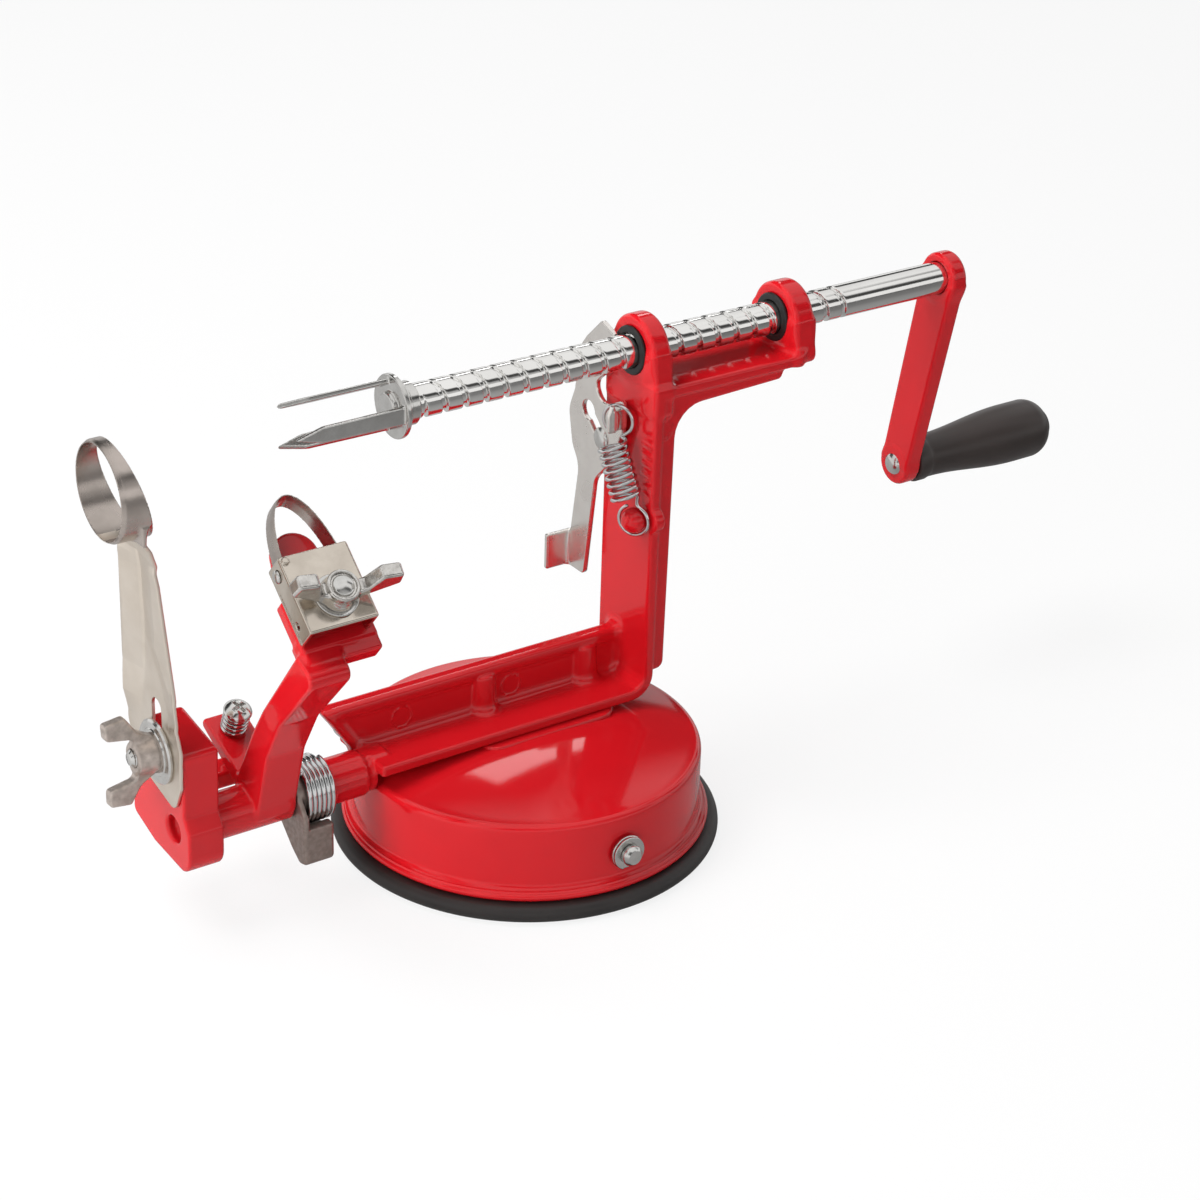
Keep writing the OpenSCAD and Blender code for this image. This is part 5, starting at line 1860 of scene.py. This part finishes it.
    def depth_screw(self) -> None:
        """The cross-slotted depth screw and the spring under its head."""
        tip = span("depth_screw", Axis.Z)[0]
        lean = math.cos(math.radians(self.screw_lean))
        low = (tip - self.screw[2]) / lean + 0.55
        points, faces = threaded(low, 9.7, 1.93, 0.75, 32)
        upright = np.stack([-points[:, 2], points[:, 1], points[:, 0]], -1)
        stem = make_mesh("depth_screw_thread", moved(upright, self.at_screw), faces)
        dress(stem, PLATED, Body.DEPTH, "bright_steel", "depth_screw")
        head = ball((0.0, 0.0, 7.3), 4.75)
        head = head.within(rod(Axis.Z, 9.5, 12.0, 4.2, (0.0, 0.0), 0.35), 0.5)
        for a in (0.0, 90.0):
            arm = block((-2.1, -0.42, 10.45), (2.1, 0.42, 14.0), 0.15)
            head = head.less(arm.placed(posed((0.0, 0.0, 0.0), (a + 20, "Z"))), 0.3)
        obj = cast("depth_screw_head", head.placed(self.at_screw), 0.2)
        dress(obj, PLATED, Body.DEPTH, "bright_steel")
        turns, (r, wire) = self.screw_turns, self.screw_coil
        a = np.linspace(0.0, 2 * math.pi * turns, 40 * turns)
        rise = np.linspace(*self.screw_coil_z, len(a))
        path = np.stack([r * np.cos(a), r * np.sin(a), rise], -1)
        obj = drawn_wire("depth_screw_coil", moved(path, self.at_screw), wire, 10)
        dress(obj, SPRING_STEEL, Body.ARM, "spring_steel", "depth_screw_spring")

    def torsion_spring(self) -> None:
        """The torsion spring round the latch's sleeve, with one leg up to the frame."""
        start, end = span("arm_spring", Axis.X)
        y, z = self.pivot
        r, wire = self.spring_r, self.spring_wire
        x0, x1 = start + wire - 0.6, end - wire
        turns = self.spring_turns
        a = np.radians(90.0) - np.linspace(0.0, 2 * math.pi * turns, 44 * turns)
        x = np.linspace(x0, x1, len(a))
        coil = np.stack([x, y + r * np.cos(a), z + r * np.sin(a)], -1)
        leg = coil[0] + np.outer(np.linspace(1.0, 0.1, 8), [0.0, -5.5, 0.4])
        coil = np.concatenate([leg, coil])
        obj = drawn_wire("torsion_coil", coil, wire, 14)
        dress(obj, SPRING_STEEL, Body.BASE, "spring_steel", "arm_spring")

    def latch(self) -> None:
        """The grainy cast latch beside the spring, with its bored sleeve."""
        x0, x1 = span("arm_latch", Axis.X)
        y, z = self.pivot
        sleeve = rod(Axis.X, x0, x1, self.spring_r - 1.28, self.pivot, 0.4)
        shape = [
            (y + 6.4, z + 2, 4), (y - 4, z + 7, 4), (y - 10.6, 27, 3), (y - 10.6, 13, 1.8),
            (y - 7, 12, 1.8), (y - 2.5, 15, 6), (y + 6, 23, 3),
        ]
        plate = prism(Axis.X, x0, x0 + 9.2, rounded(shape), 1.0)
        cup = rod(Axis.X, x0 + 1.6, x0 + 14.0, self.spring_r + 1.03, self.pivot, 0.0)
        room = block((x0 + 1.6, y - 16.0, z - 6.4), (x0 + 16.0, y, z + 14.0), 0.4)
        body = plate.less(cup, 0.6).less(room, 0.5).joined(sleeve, 0.3)
        body = body.bored(Axis.X, x0 - 4, x0 + 20, self.pivot_r + 0.12, self.pivot, ease=0.5)
        obj = cast("latch_casting", body, 0.4)
        dress(obj, LATCH_METAL, Body.LATCH, "cast_zinc", "arm_latch")

    def build(self) -> None:
        """Builds and dresses the arm."""
        self.arm()
        self.blade_holder()
        self.blade()
        self.rivets()
        self.clamp()
        self.depth_screw()
        self.torsion_spring()
        self.latch()


@dataclass
class Drive:
    """The grooved shaft with its fork, collar and rubber bushes, the crank and its grip."""

    mid_y: float = 6.0
    shaft_z: float = 135.5
    shaft_r: float = 4.7625
    front: float = 39.0
    plain: float = 6.0
    groove_lead: float = 6.35
    groove_w: float = 1.5
    groove_depth: float = 0.9
    boss_x: tuple[float, float] = (36.3, 85.0)
    boss_t: tuple[float, float] = (6.2, 7.0)
    flange_t: float = 1.2
    tine_r: float = 6.6
    tine_len: float = 32.0
    crank_x: float = 145.0
    crank_t: float = 5.5
    crank_w: float = 14.0
    throw: float = 66.0
    crank_lean: float = 11.0
    grip_len: float = 53.5
    neck_d: float = 14.0
    grip_d: float = 18.4

    @property
    def axis(self) -> tuple[float, float]:
        """Place of the shaft's axis."""
        return self.mid_y, self.shaft_z

    @property
    def pin(self) -> tuple[float, float]:
        """Place of the grip's axis."""
        lean = math.radians(self.crank_lean)
        return self.mid_y + self.throw * math.sin(lean), self.shaft_z - self.throw * math.cos(lean)

    def shaft(self) -> None:
        """The plated shaft, rolled with one helical groove between its plain ends."""
        x0, x1 = span("drive_shaft", Axis.X)
        g0 = -self.front + self.plain
        g1 = span("rear_bush", Axis.X)[1] + 16.3
        lead, width, deep, r = self.groove_lead, self.groove_w, self.groove_depth, self.shaft_r

        def radius(x: np.ndarray, a: np.ndarray) -> np.ndarray:
            """Radius with the groove's square bottom and softened shoulders.

            Args:
                x: Places along the shaft.
                a: Angles round the shaft.

            Returns:
                The radius.
            """
            phase = (x - g0) / lead - a / (2 * math.pi)
            off = np.abs((phase % 1.0) * lead - lead / 2)
            wall = np.clip((width / 2 + 0.22 - off) / 0.34, 0.0, 1.0)
            cut = deep * wall * wall * (3 - 2 * wall)
            shoulder = off - width / 2 - 0.25
            swell = 0.06 * np.clip(1 - shoulder / 0.5, 0.0, 1.0) * (shoulder > 0)
            run = np.clip((x - g0) / 1.2, 0.0, 1.0) * np.clip((g1 - x) / 1.2, 0.0, 1.0)
            bevel = np.clip(0.7 - np.minimum(x - x0, x1 - x), 0.0, 0.7)
            return r - (cut + swell * 0.5) * run - bevel

        fine = np.arange(g0 - 0.3, g1 + 0.4, 0.16)
        plain = [x0, x0 + 0.35, x0 + 0.7, x0 + 0.72]
        tail = list(np.linspace(g1 + 0.6, x1 - 0.72, 14)) + [x1 - 0.7, x1 - 0.35, x1]
        stations = np.array(plain + list(fine) + tail)
        obj = lathe_grid("grooved_shaft", stations, radius, self.axis, 72)
        dress(obj, CHROME, Body.DRIVE, "bright_steel", "drive_shaft")

    def fork(self) -> None:
        """The three-tined fork on its round plate."""
        y, z = self.axis
        x0 = -self.front - 1.5
        body = rod(Axis.X, x0, x0 + 1.5, self.tine_r + 2.2, self.axis, 0.4)
        body = body.joined(rod(Axis.X, x0 - 1.4, x0 + 0.5, 4.2, self.axis, 0.9), 0.5)
        n = self.tine_len
        for k in range(3):
            tine = prism(
                Axis.Y, -0.7, 0.7,
                rounded([
                    (0.6, -2.4), (0.6, 2.4), (-n + 8, 2.2, 6), (-n, 0.0), (-n + 8, -2.2, 6),
                ]), 0.35,
            )
            place = posed((x0, y, z), (120 * k + 90, "X"))
            place = place @ posed((0.0, 0.0, self.tine_r), (90, "X"))
            body = body.joined(tine.placed(place), 0.7)
        obj = cast("apple_fork", body, 0.34)
        dress(obj, PLATED, Body.DRIVE, "bright_steel", "fork")

    def collar(self) -> None:
        """The pressed collar behind the fork."""
        x0, x1 = span("shaft_collar", Axis.X)
        y0, y1 = span("shaft_collar", Axis.Y)
        r = (y1 - y0) / 2
        profile = [(self.shaft_r + 0.06, x0), (r - 0.3, x0), (r, x0 + 0.3), (r, x0 + 1.5)]
        profile += [(r - 0.5, x0 + 1.9), (r - 0.5, x1 - 0.6), (r - 1.0, x1)]
        profile += [(self.shaft_r + 0.06, x1)]
        obj = spun("fork_collar", profile, Axis.X, self.axis, 72)
        dress(obj, PLATED, Body.DRIVE, "bright_steel", "shaft_collar")

    def bushes(self) -> None:
        """The two rubber bushes, each with a thick soft lip in front of its boss."""
        bush_r = self.shaft_r + 1.5
        lip_r, inner = bush_r + 0.75, self.shaft_r + 0.1
        for name, node, x, t in (
            ("front_bush_ring", "front_bush", self.boss_x[0], self.boss_t[0]),
            ("rear_bush_ring", "rear_bush", self.boss_x[1], self.boss_t[1]),
        ):
            f = self.flange_t
            profile = [(inner, x - f + 0.35), (inner + 0.35, x - f)]
            profile += arc((lip_r - f / 2, x - f / 2), f / 2, -88, 88, 8)
            profile += [(bush_r, x), (bush_r, x + t - 0.4), (bush_r - 0.4, x + t)]
            profile += [(inner + 0.3, x + t), (inner, x + t - 0.3)]
            obj = spun(name, profile, Axis.X, self.axis, 96, 40.0)
            dress(obj, SEAL_RUBBER, Body.BUSHES, "rubber", node)

    def crank(self) -> None:
        """The red crank arm, thicker round the shaft, with eased edges."""
        y, z = self.axis
        r, half, t = self.crank_w / 2 + 0.4, self.crank_w / 2, self.crank_t
        x0, x1 = self.crank_x, self.crank_x + t
        lean = posed((0.0, y, z), (self.crank_lean, "X"))
        bar = prism(
            Axis.X, x0, x1,
            [(-half, 0.0), (half, 0.0), (half - 0.9, -self.throw), (-half + 0.9, -self.throw)], 1.2,
        )
        body = bar.placed(lean).joined(rod(Axis.X, x0, x1, r, self.axis, 1.2), 2.0)
        body = body.joined(rod(Axis.X, x0, x1, half - 0.5, self.pin, 1.2), 1.0)
        body = body.bored(Axis.X, x0 - 3, x1 - 1.0, self.shaft_r + 0.04, self.axis, ease=0.5)
        body = body.bored(Axis.X, x0 - 3, x1 + 3, 2.53, self.pin, ease=0.4)
        obj = cast("crank_bar", body, 0.5)
        dress(obj, POWDER_RED, Body.DRIVE, "red_paint", "crank_arm")

    def pin_piece(self) -> None:
        """The pin of the grip, riveted over in a dome in front of the crank."""
        x0, x1 = self.crank_x, self.crank_x + self.crank_t
        end = x1 + self.grip_len - 5.5
        profile = [(0.0, x0 - 1.6), (1.2, x0 - 1.52), (2.3, x0 - 1.2), (3.1, x0 - 0.6)]
        profile += [(3.4, x0 - 0.02), (2.5, x0), (2.5, end - 0.6), (4.0, end - 0.5)]
        profile += [(4.0, end + 0.7)]
        profile += [(3.4, end + 1.1), (0.0, end + 1.1)]
        obj = spun("grip_rivet_pin", profile, Axis.X, self.pin, 64, 50.0)
        dress(obj, PLATED, Body.DRIVE, "bright_steel", "grip_pin")

    def grip(self) -> None:
        """The black moulded grip, with a narrow neck, a full end and a fine parting line."""
        x0, x1 = span("crank_grip", Axis.X)
        n = x1 - x0
        r0, r1 = self.neck_d / 2, self.grip_d / 2
        line = [(2.6, 0.0), (r0 - 1.1, 0.0)] + arc((r0 - 1.0, 1.0), 1.0, -90, 0, 5)
        line += [(r0, 3.6), (r0 - 0.25, 4.6), (r0 - 0.45, 5.2), (r0 - 0.4, 6.0)]
        for t in np.linspace(0.05, 1.0, 18):
            swell = (1 - math.cos(math.pi * t)) / 2
            line.append((r0 - 0.4 + (r1 - r0 + 0.4) * swell, 6 + (n - 20) * t))
        line += arc((r1 - 7, n - 7), 7, 6, 78, 12)
        line += [(5.2, n - 0.1), (4.6, n - 0.4), (4.3, n - 1.0), (4.3, n - 6.6), (2.6, n - 6.6)]
        obj = spun("turning_grip", [(r, x0 + u) for r, u in line], Axis.X, self.pin, 112, 40.0)
        dress(obj, SATIN_BLACK, Body.GRIP, "black_plastic", "crank_grip")

    def build(self) -> None:
        """Builds and dresses the drive."""
        self.shaft()
        self.fork()
        self.collar()
        self.bushes()
        self.crank()
        self.pin_piece()
        self.grip()


@dataclass
class Release:
    """The quick-release lever on its stud, and the spring that pulls it down to the peg."""

    mid_y: float = 6.0
    shaft_z: float = 135.5
    shaft_r: float = 4.7625
    lever_x: float = 34.8
    lever_t: float = 1.6
    stud: tuple[float, float] = (15.0, 106.0)
    hook_y: float = 5.2
    hook_z: float = 119.3
    hook_out: float = 6.5
    hook_w: float = 1.6
    peg: tuple[float, float, float] = (32.9, -2.3, 88.0)
    peg_r: float = 3.6
    coil_r: float = 4.05
    wire_r: float = 0.55
    turns: int = 8

    def lever(self) -> None:
        """The stamped lever with its hook tongue, keyhole and thumb tab."""
        y, z = self.mid_y, self.shaft_z
        hy, hz = self.hook_y, self.hook_z
        tab = z - 75
        x1 = self.lever_x
        x0 = x1 - self.lever_t
        body = prism(
            Axis.X, x0, x1,
            rounded([
                (y + 4.6, z + 3.4), (y + 10.8, z + 5.4, 1.0), (y + 17.8, z - 1.5, 1.5),
                (y + 21.2, z - 6, 3), (y + 22.8, z - 19, 6), (y + 25.6, z - 26, 7),
                (y + 23.4, z - 37, 8), (y + 19.8, z - 41, 8), (y + 25, tab, 1.5),
                (y + 16, tab, 1.5), (y + 11.8, z - 43, 7), (y + 2.4, z - 33, 5),
                (hy + 1, z - 26, 2), (hy, hz - 8), (hy, hz + 2, 1), (y + 9, z - 19.5, 4),
                (y + 13.3, z - 14, 3), (y + 2.4, z - 4.2, 1),
            ]), 0.35,
        )
        y0, y1 = hy - 0.6, hy - 0.6 + self.hook_w
        strap = block((x1 - self.hook_out + 1.2, y0, hz - 6.6), (x1 - 0.2, y1, hz - 0.6), 0.5)
        low, high = hz - 7, hz + 2
        mid_x = x1 - self.hook_out + 1.3
        leaf = prism(
            Axis.Y, y0, y1,
            rounded([
                (mid_x - 1.2, low, 0.6), (mid_x + 1.4, low, 0.6), (mid_x + 1.9, low + 4.6, 3.0),
                (mid_x + 0.3, high, 0.5), (mid_x - 1.3, low + 5.0, 3.0),
            ]), 0.45,
        )
        body = body.joined(strap, 0.6).joined(leaf, 0.8)
        thumb = block((x1 - 9, y + 23.9, tab), (x1 - 0.2, y + 23.9 + self.lever_t, tab + 11), 0.5)
        body = body.joined(thumb, 1.4)
        body = body.bored(Axis.X, x0 - 3, x1 + 3, self.shaft_r + 0.3, (y, z), ease=0.35)
        sy, sz = self.stud
        through = x0 - 3, x1 + 3
        key = rod(Axis.X, *through, 2.1, (0.0, 0.0), 0.0)
        key = key.joined(rod(Axis.X, *through, 3.0, (9.2, 0.0), 0.0))
        key = key.joined(prism(Axis.X, *through, [(0, -2.1), (9, -2.1), (9, 2.1), (0, 2.1)], 0.0))
        body = body.less(key.placed(posed((0.0, sy, sz), (43, "X"))), 0.35)
        obj = cast("quick_release_lever", body, 0.36)
        dress(obj, LEVER_STEEL, Body.RELEASE, "bright_steel", "release_lever")

    def stud_piece(self) -> None:
        """The domed stud that the lever turns on."""
        x0, x1 = span("lever_stud", Axis.X)
        top = self.lever_x - self.lever_t
        profile = [(0.0, x0), (1.3, x0 + 0.06), (2.4, x0 + 0.34), (3.15, x0 + 0.8)]
        profile += [(3.4, x0 + 1.3), (3.35, x0 + 1.5), (2.0, top - 0.05), (2.0, self.lever_x)]
        profile += [(1.5, self.lever_x + 0.1), (1.5, x1), (0.0, x1)]
        obj = spun("lever_stud_head", profile, Axis.X, self.stud, 56, 50.0)
        dress(obj, PLATED, Body.BASE, "bright_steel", "lever_stud")

    def spring(self) -> None:
        """The extension spring, hooked over the lever's tongue and looped round the peg."""
        loop_r = self.peg_r + 0.9
        hang = self.hook_z - loop_r + self.wire_r + 0.3
        upper = np.array([self.lever_x - 2.8, self.hook_y + 0.2, hang])
        lower = np.array(self.peg)
        top = upper + [-3.4, -2.2, -loop_r - 0.9]
        low = lower + [-2.0, 0.8, loop_r + 2.0]
        axis = unit(low - top)
        side = unit(np.array([1.0, 0.0, 0.0]) - axis[0] * axis)
        across = np.cross(axis, side)
        lean = np.array([0.5, -0.87, 0.0])

        def loop(centre: np.ndarray, a0: float, a1: float) -> np.ndarray:
            """Points of an end loop."""
            a = np.radians(np.linspace(a0, a1, 40))[:, None]
            return centre + loop_r * (np.cos(a) * [0.0, 0.0, 1.0] + np.sin(a) * lean)

        a = np.linspace(0.0, 2 * math.pi * self.turns, 34 * self.turns)[:, None]
        share = a / a[-1]
        coil = top + (low - top) * share + self.coil_r * (np.cos(a) * side + np.sin(a) * across)
        path = np.concatenate([loop(upper, -150, 170), coil, loop(lower, 10, 330)])
        gap = np.linalg.norm(np.diff(path, axis=0), axis=1)
        along = np.concatenate([[0.0], np.cumsum(gap)])
        even = np.linspace(0.0, along[-1], int(along[-1] / 0.55))
        path = np.stack([np.interp(even, along, path[:, k]) for k in range(3)], -1)
        for _ in range(4):
            path[1:-1] = 0.25 * path[:-2] + 0.5 * path[1:-1] + 0.25 * path[2:]
        obj = drawn_wire("lever_return_spring", path, self.wire_r, 12)
        dress(obj, SPRING_STEEL, None, "spring_steel", "lever_spring")
        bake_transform(obj)

    def build(self) -> None:
        """Builds and dresses the release lever."""
        self.lever()
        self.stud_piece()
        self.spring()


# ---- Studio ----


@dataclass(frozen=True)
class Lamp:
    """A rectangular soft lamp: lengths in metres, power in watts, roll in degrees."""

    name: str
    at: tuple[float, float, float]
    size: tuple[float, float]
    watts: float
    aim: tuple[float, float, float] = (0.0, 0.0, 0.05)
    glossy: bool = False
    roll: float = 0.0

    def build(self) -> None:
        """Hangs the lamp."""
        data = bpy.data.lights.new(self.name, "AREA")
        data.shape, data.size, data.size_y = "RECTANGLE", *self.size
        data.energy = self.watts
        obj = bpy.data.objects.new(self.name, data)
        obj.location = self.at
        way = Vector(self.aim) - Vector(self.at)
        turn = Matrix.Rotation(math.radians(self.roll), 3, "Z")
        obj.rotation_euler = (way.to_track_quat("-Z", "Y").to_matrix() @ turn).to_euler()
        obj.visible_camera = False
        obj.visible_glossy = self.glossy
        bpy.context.scene.collection.objects.link(obj)


@dataclass
class Studio:
    """Camera, lamps, pale floor and white surroundings."""

    camera_at: tuple[float, float, float] = (-0.4059, -0.6092, 0.4474)
    look_at: tuple[float, float, float] = (0.02398, 0.0, 0.06429)
    azimuth: float = -35.21
    roll: float = 1.87
    lens: float = 89.42
    sensor: float = 36.0
    far: float = 50.0
    ambient: float = 0.33
    floor_z: float = -0.0002
    floor_r: tuple[float, ...] = (0.0, 0.6, 2.0, 9.0)
    floor_matt: float = 0.86
    floor_glow: float = 0.84
    depth_way: tuple[float, float, float] = (-0.55, 0.83, 0.0)
    depth_fade: tuple[float, float, float, float] = (-0.35, 0.20, 0.22, 1.0)
    side_way: tuple[float, float, float] = (0.83, 0.55, 0.0)
    side_fade: tuple[float, float, float, float] = (-0.20, -0.02, 1.0, 0.5)
    tent_r: float = 3.0
    tent_from: float = 20.0
    tent_rings: int = 14
    tent_bands: tuple[tuple[float, float], ...] = (
        (0.0, 0.55), (0.12, 0.5), (0.16, 0.06), (0.22, 0.06), (0.26, 1.0), (0.38, 1.0),
        (0.41, 0.06), (0.46, 0.06), (0.49, 1.0), (0.75, 0.9), (0.785, 0.05), (1.0, 0.05),
    )
    tent_roof: tuple[float, float, float, float] = (2.18, 2.42, 0.0, 1.0)
    lamps: tuple[Lamp, ...] = (
        Lamp("key_lamp", (-0.50, 0.25, 1.15), (0.7, 0.7), 13.0),
        Lamp("front_lamp", (-0.1, -1.3, 0.6), (0.9, 0.6), 1.5),
        Lamp("side_lamp", (-1.2, -0.2, 0.45), (0.8, 0.6), 10.0),
        Lamp("window_lamp", (0.59, 0.85, 0.785), (0.40, 0.14), 0.6, (0.0, -0.01, 0.03), True, 49.0),
    )

    def camera(self) -> None:
        """The camera, level apart from a small roll."""
        at, target = Vector(self.camera_at), Vector(self.look_at)
        ahead = (target - at).normalized()
        turn, roll = math.radians(self.azimuth), math.radians(self.roll)
        level = Vector((math.cos(turn), math.sin(turn), 0.0))
        above = level.cross(ahead)
        side = math.cos(roll) * level + math.sin(roll) * above
        up = -math.sin(roll) * level + math.cos(roll) * above
        data = bpy.data.cameras.new("studio_camera")
        data.lens, data.sensor_width, data.clip_end = self.lens, self.sensor, self.far
        obj = bpy.data.objects.new("studio_camera", data)
        place = Matrix((side, up, -ahead)).transposed().to_4x4()
        place.translation = at
        obj.matrix_world = place
        bpy.context.scene.collection.objects.link(obj)
        bpy.context.scene.camera = obj

    def surroundings(self) -> None:
        """White surroundings for the camera and for shiny surfaces, with softer light from them."""
        world = bpy.data.worlds.new("studio_white")
        bpy.context.scene.world = world
        world.use_nodes = True
        net = Net(world.node_tree)
        path = net.add("ShaderNodeLightPath").outputs
        seen = net.math("MAXIMUM", path["Is Camera Ray"], path["Is Glossy Ray"])
        both = net.math("MAXIMUM", seen, path["Is Transmission Ray"])
        net.feed(world.node_tree.nodes["Background"], {
            "Color": (1.0, 1.0, 1.0, 1.0),
            "Strength": net.ranged(both, 0.0, 1.0, self.ambient, 1.0),
        })

    @staticmethod
    def disc(name: str, rings: Sequence[tuple[float, float]], sides: int = 64) -> bpy.types.Object:
        """A round stage surface about the upright axis.

        Args:
            name: Name of the object.
            rings: Radius and height of each ring, in metres, from the middle outwards.
            sides: Faces round it.

        Returns:
            The object.
        """
        bm = bmesh.new()
        spokes = [2 * math.pi * n / sides for n in range(sides)]
        rows = [
            [
                bm.verts.new((r * math.cos(a), r * math.sin(a), z))
                for a in spokes[: sides if r else 1]
            ]
            for r, z in rings
        ]
        for a, b in zip(rows, rows[1:]):
            face_ring(bm, a, b, sides)
        obj = finish_bmesh(name, bm)
        return obj

    @staticmethod
    def stage_net(obj: bpy.types.Object, name: str) -> Net:
        """An empty net for a stage surface's own material.

        Args:
            obj: The surface.
            name: Name of the material.

        Returns:
            The net.
        """
        made = bpy.data.materials.new(name)
        made.use_nodes = True
        made.node_tree.nodes.clear()
        obj.data.materials.append(made)
        return Net(made.node_tree)

    def floor(self) -> None:
        """The pale floor, which keeps a faint shadow of the peeler."""
        obj = self.disc("studio_floor", [(r, self.floor_z) for r in self.floor_r])
        net = self.stage_net(obj, "pale_floor")
        path = net.add("ShaderNodeLightPath").outputs
        # For shiny surfaces, the floor's glow fades along depth_way and side_way. This is a painted
        # darkening of their reflections.
        fades = []
        for way, limits in ((self.depth_way, self.depth_fade), (self.side_way, self.side_fade)):
            along = net.add(
                "ShaderNodeVectorMath", {0: net.place(), 1: way}, operation="DOT_PRODUCT"
            )
            fades.append(net.ranged(along.outputs["Value"], *limits))
        shown = net.math("MULTIPLY", *fades)
        seen = net.add(
            "ShaderNodeMix", {"Factor": path["Is Glossy Ray"], 2: 1.0, 3: shown}, data_type="FLOAT"
        )
        either = net.math("MAXIMUM", path["Is Camera Ray"], path["Is Glossy Ray"])
        matt = net.add("ShaderNodeBsdfDiffuse", {"Color": (*[self.floor_matt] * 3, 1.0)})
        glow = net.add("ShaderNodeEmission", {"Strength": seen.outputs[0]})
        mix = net.add("ShaderNodeMixShader", {
            "Fac": net.math("MULTIPLY", either, self.floor_glow),
            1: matt.outputs["BSDF"], 2: glow.outputs["Emission"],
        })
        net.add("ShaderNodeOutputMaterial", {"Surface": mix.outputs["Shader"]})

    def tent(self) -> None:
        """A tent that only shiny surfaces show: bright overhead and in bands in front."""
        turns = np.radians(np.linspace(self.tent_from, 90.0, self.tent_rings))[::-1]
        rings = [(self.tent_r * math.cos(a), self.tent_r * math.sin(a)) for a in turns]
        rings[0] = (0.0, self.tent_r)
        obj = self.disc("studio_tent", rings)
        obj.visible_camera = obj.visible_diffuse = False
        obj.visible_shadow = obj.visible_transmission = False
        net = self.stage_net(obj, "dim_tent")
        parts = net.add("ShaderNodeSeparateXYZ", {"Vector": net.place()}).outputs
        depth = net.ranged(parts["Y"], -self.tent_r, self.tent_r)
        bands = net.add("ShaderNodeFloatCurve", {"Value": depth})
        curve = bands.mapping.curves[0]
        for n, spot in enumerate(self.tent_bands):
            point = curve.points[n] if n < 2 else curve.points.new(*spot)
            point.location = spot
            point.handle_type = "VECTOR"
        bands.mapping.update()
        roof = net.ranged(parts["Z"], *self.tent_roof)
        glow = net.add("ShaderNodeEmission", {
            "Color": (1.0, 1.0, 1.0, 1.0),
            "Strength": net.math("MAXIMUM", bands.outputs["Value"], roof),
        })
        net.add("ShaderNodeOutputMaterial", {"Surface": glow.outputs["Emission"]})

    def build(self) -> None:
        """Sets up the studio."""
        bpy.context.scene.view_settings.view_transform = "Standard"
        self.camera()
        self.surroundings()
        self.floor()
        self.tent()
        for lamp in self.lamps:
            lamp.build()


def main() -> None:
    """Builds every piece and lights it."""
    logging.basicConfig(level=logging.INFO, format="%(name)s: %(message)s")
    for part in (SuctionBase(), CastFrame(), Corer(), PeelingArm(), Drive(), Release()):
        part.build()
    Studio().build()


if __name__ == "__main__":
    main()
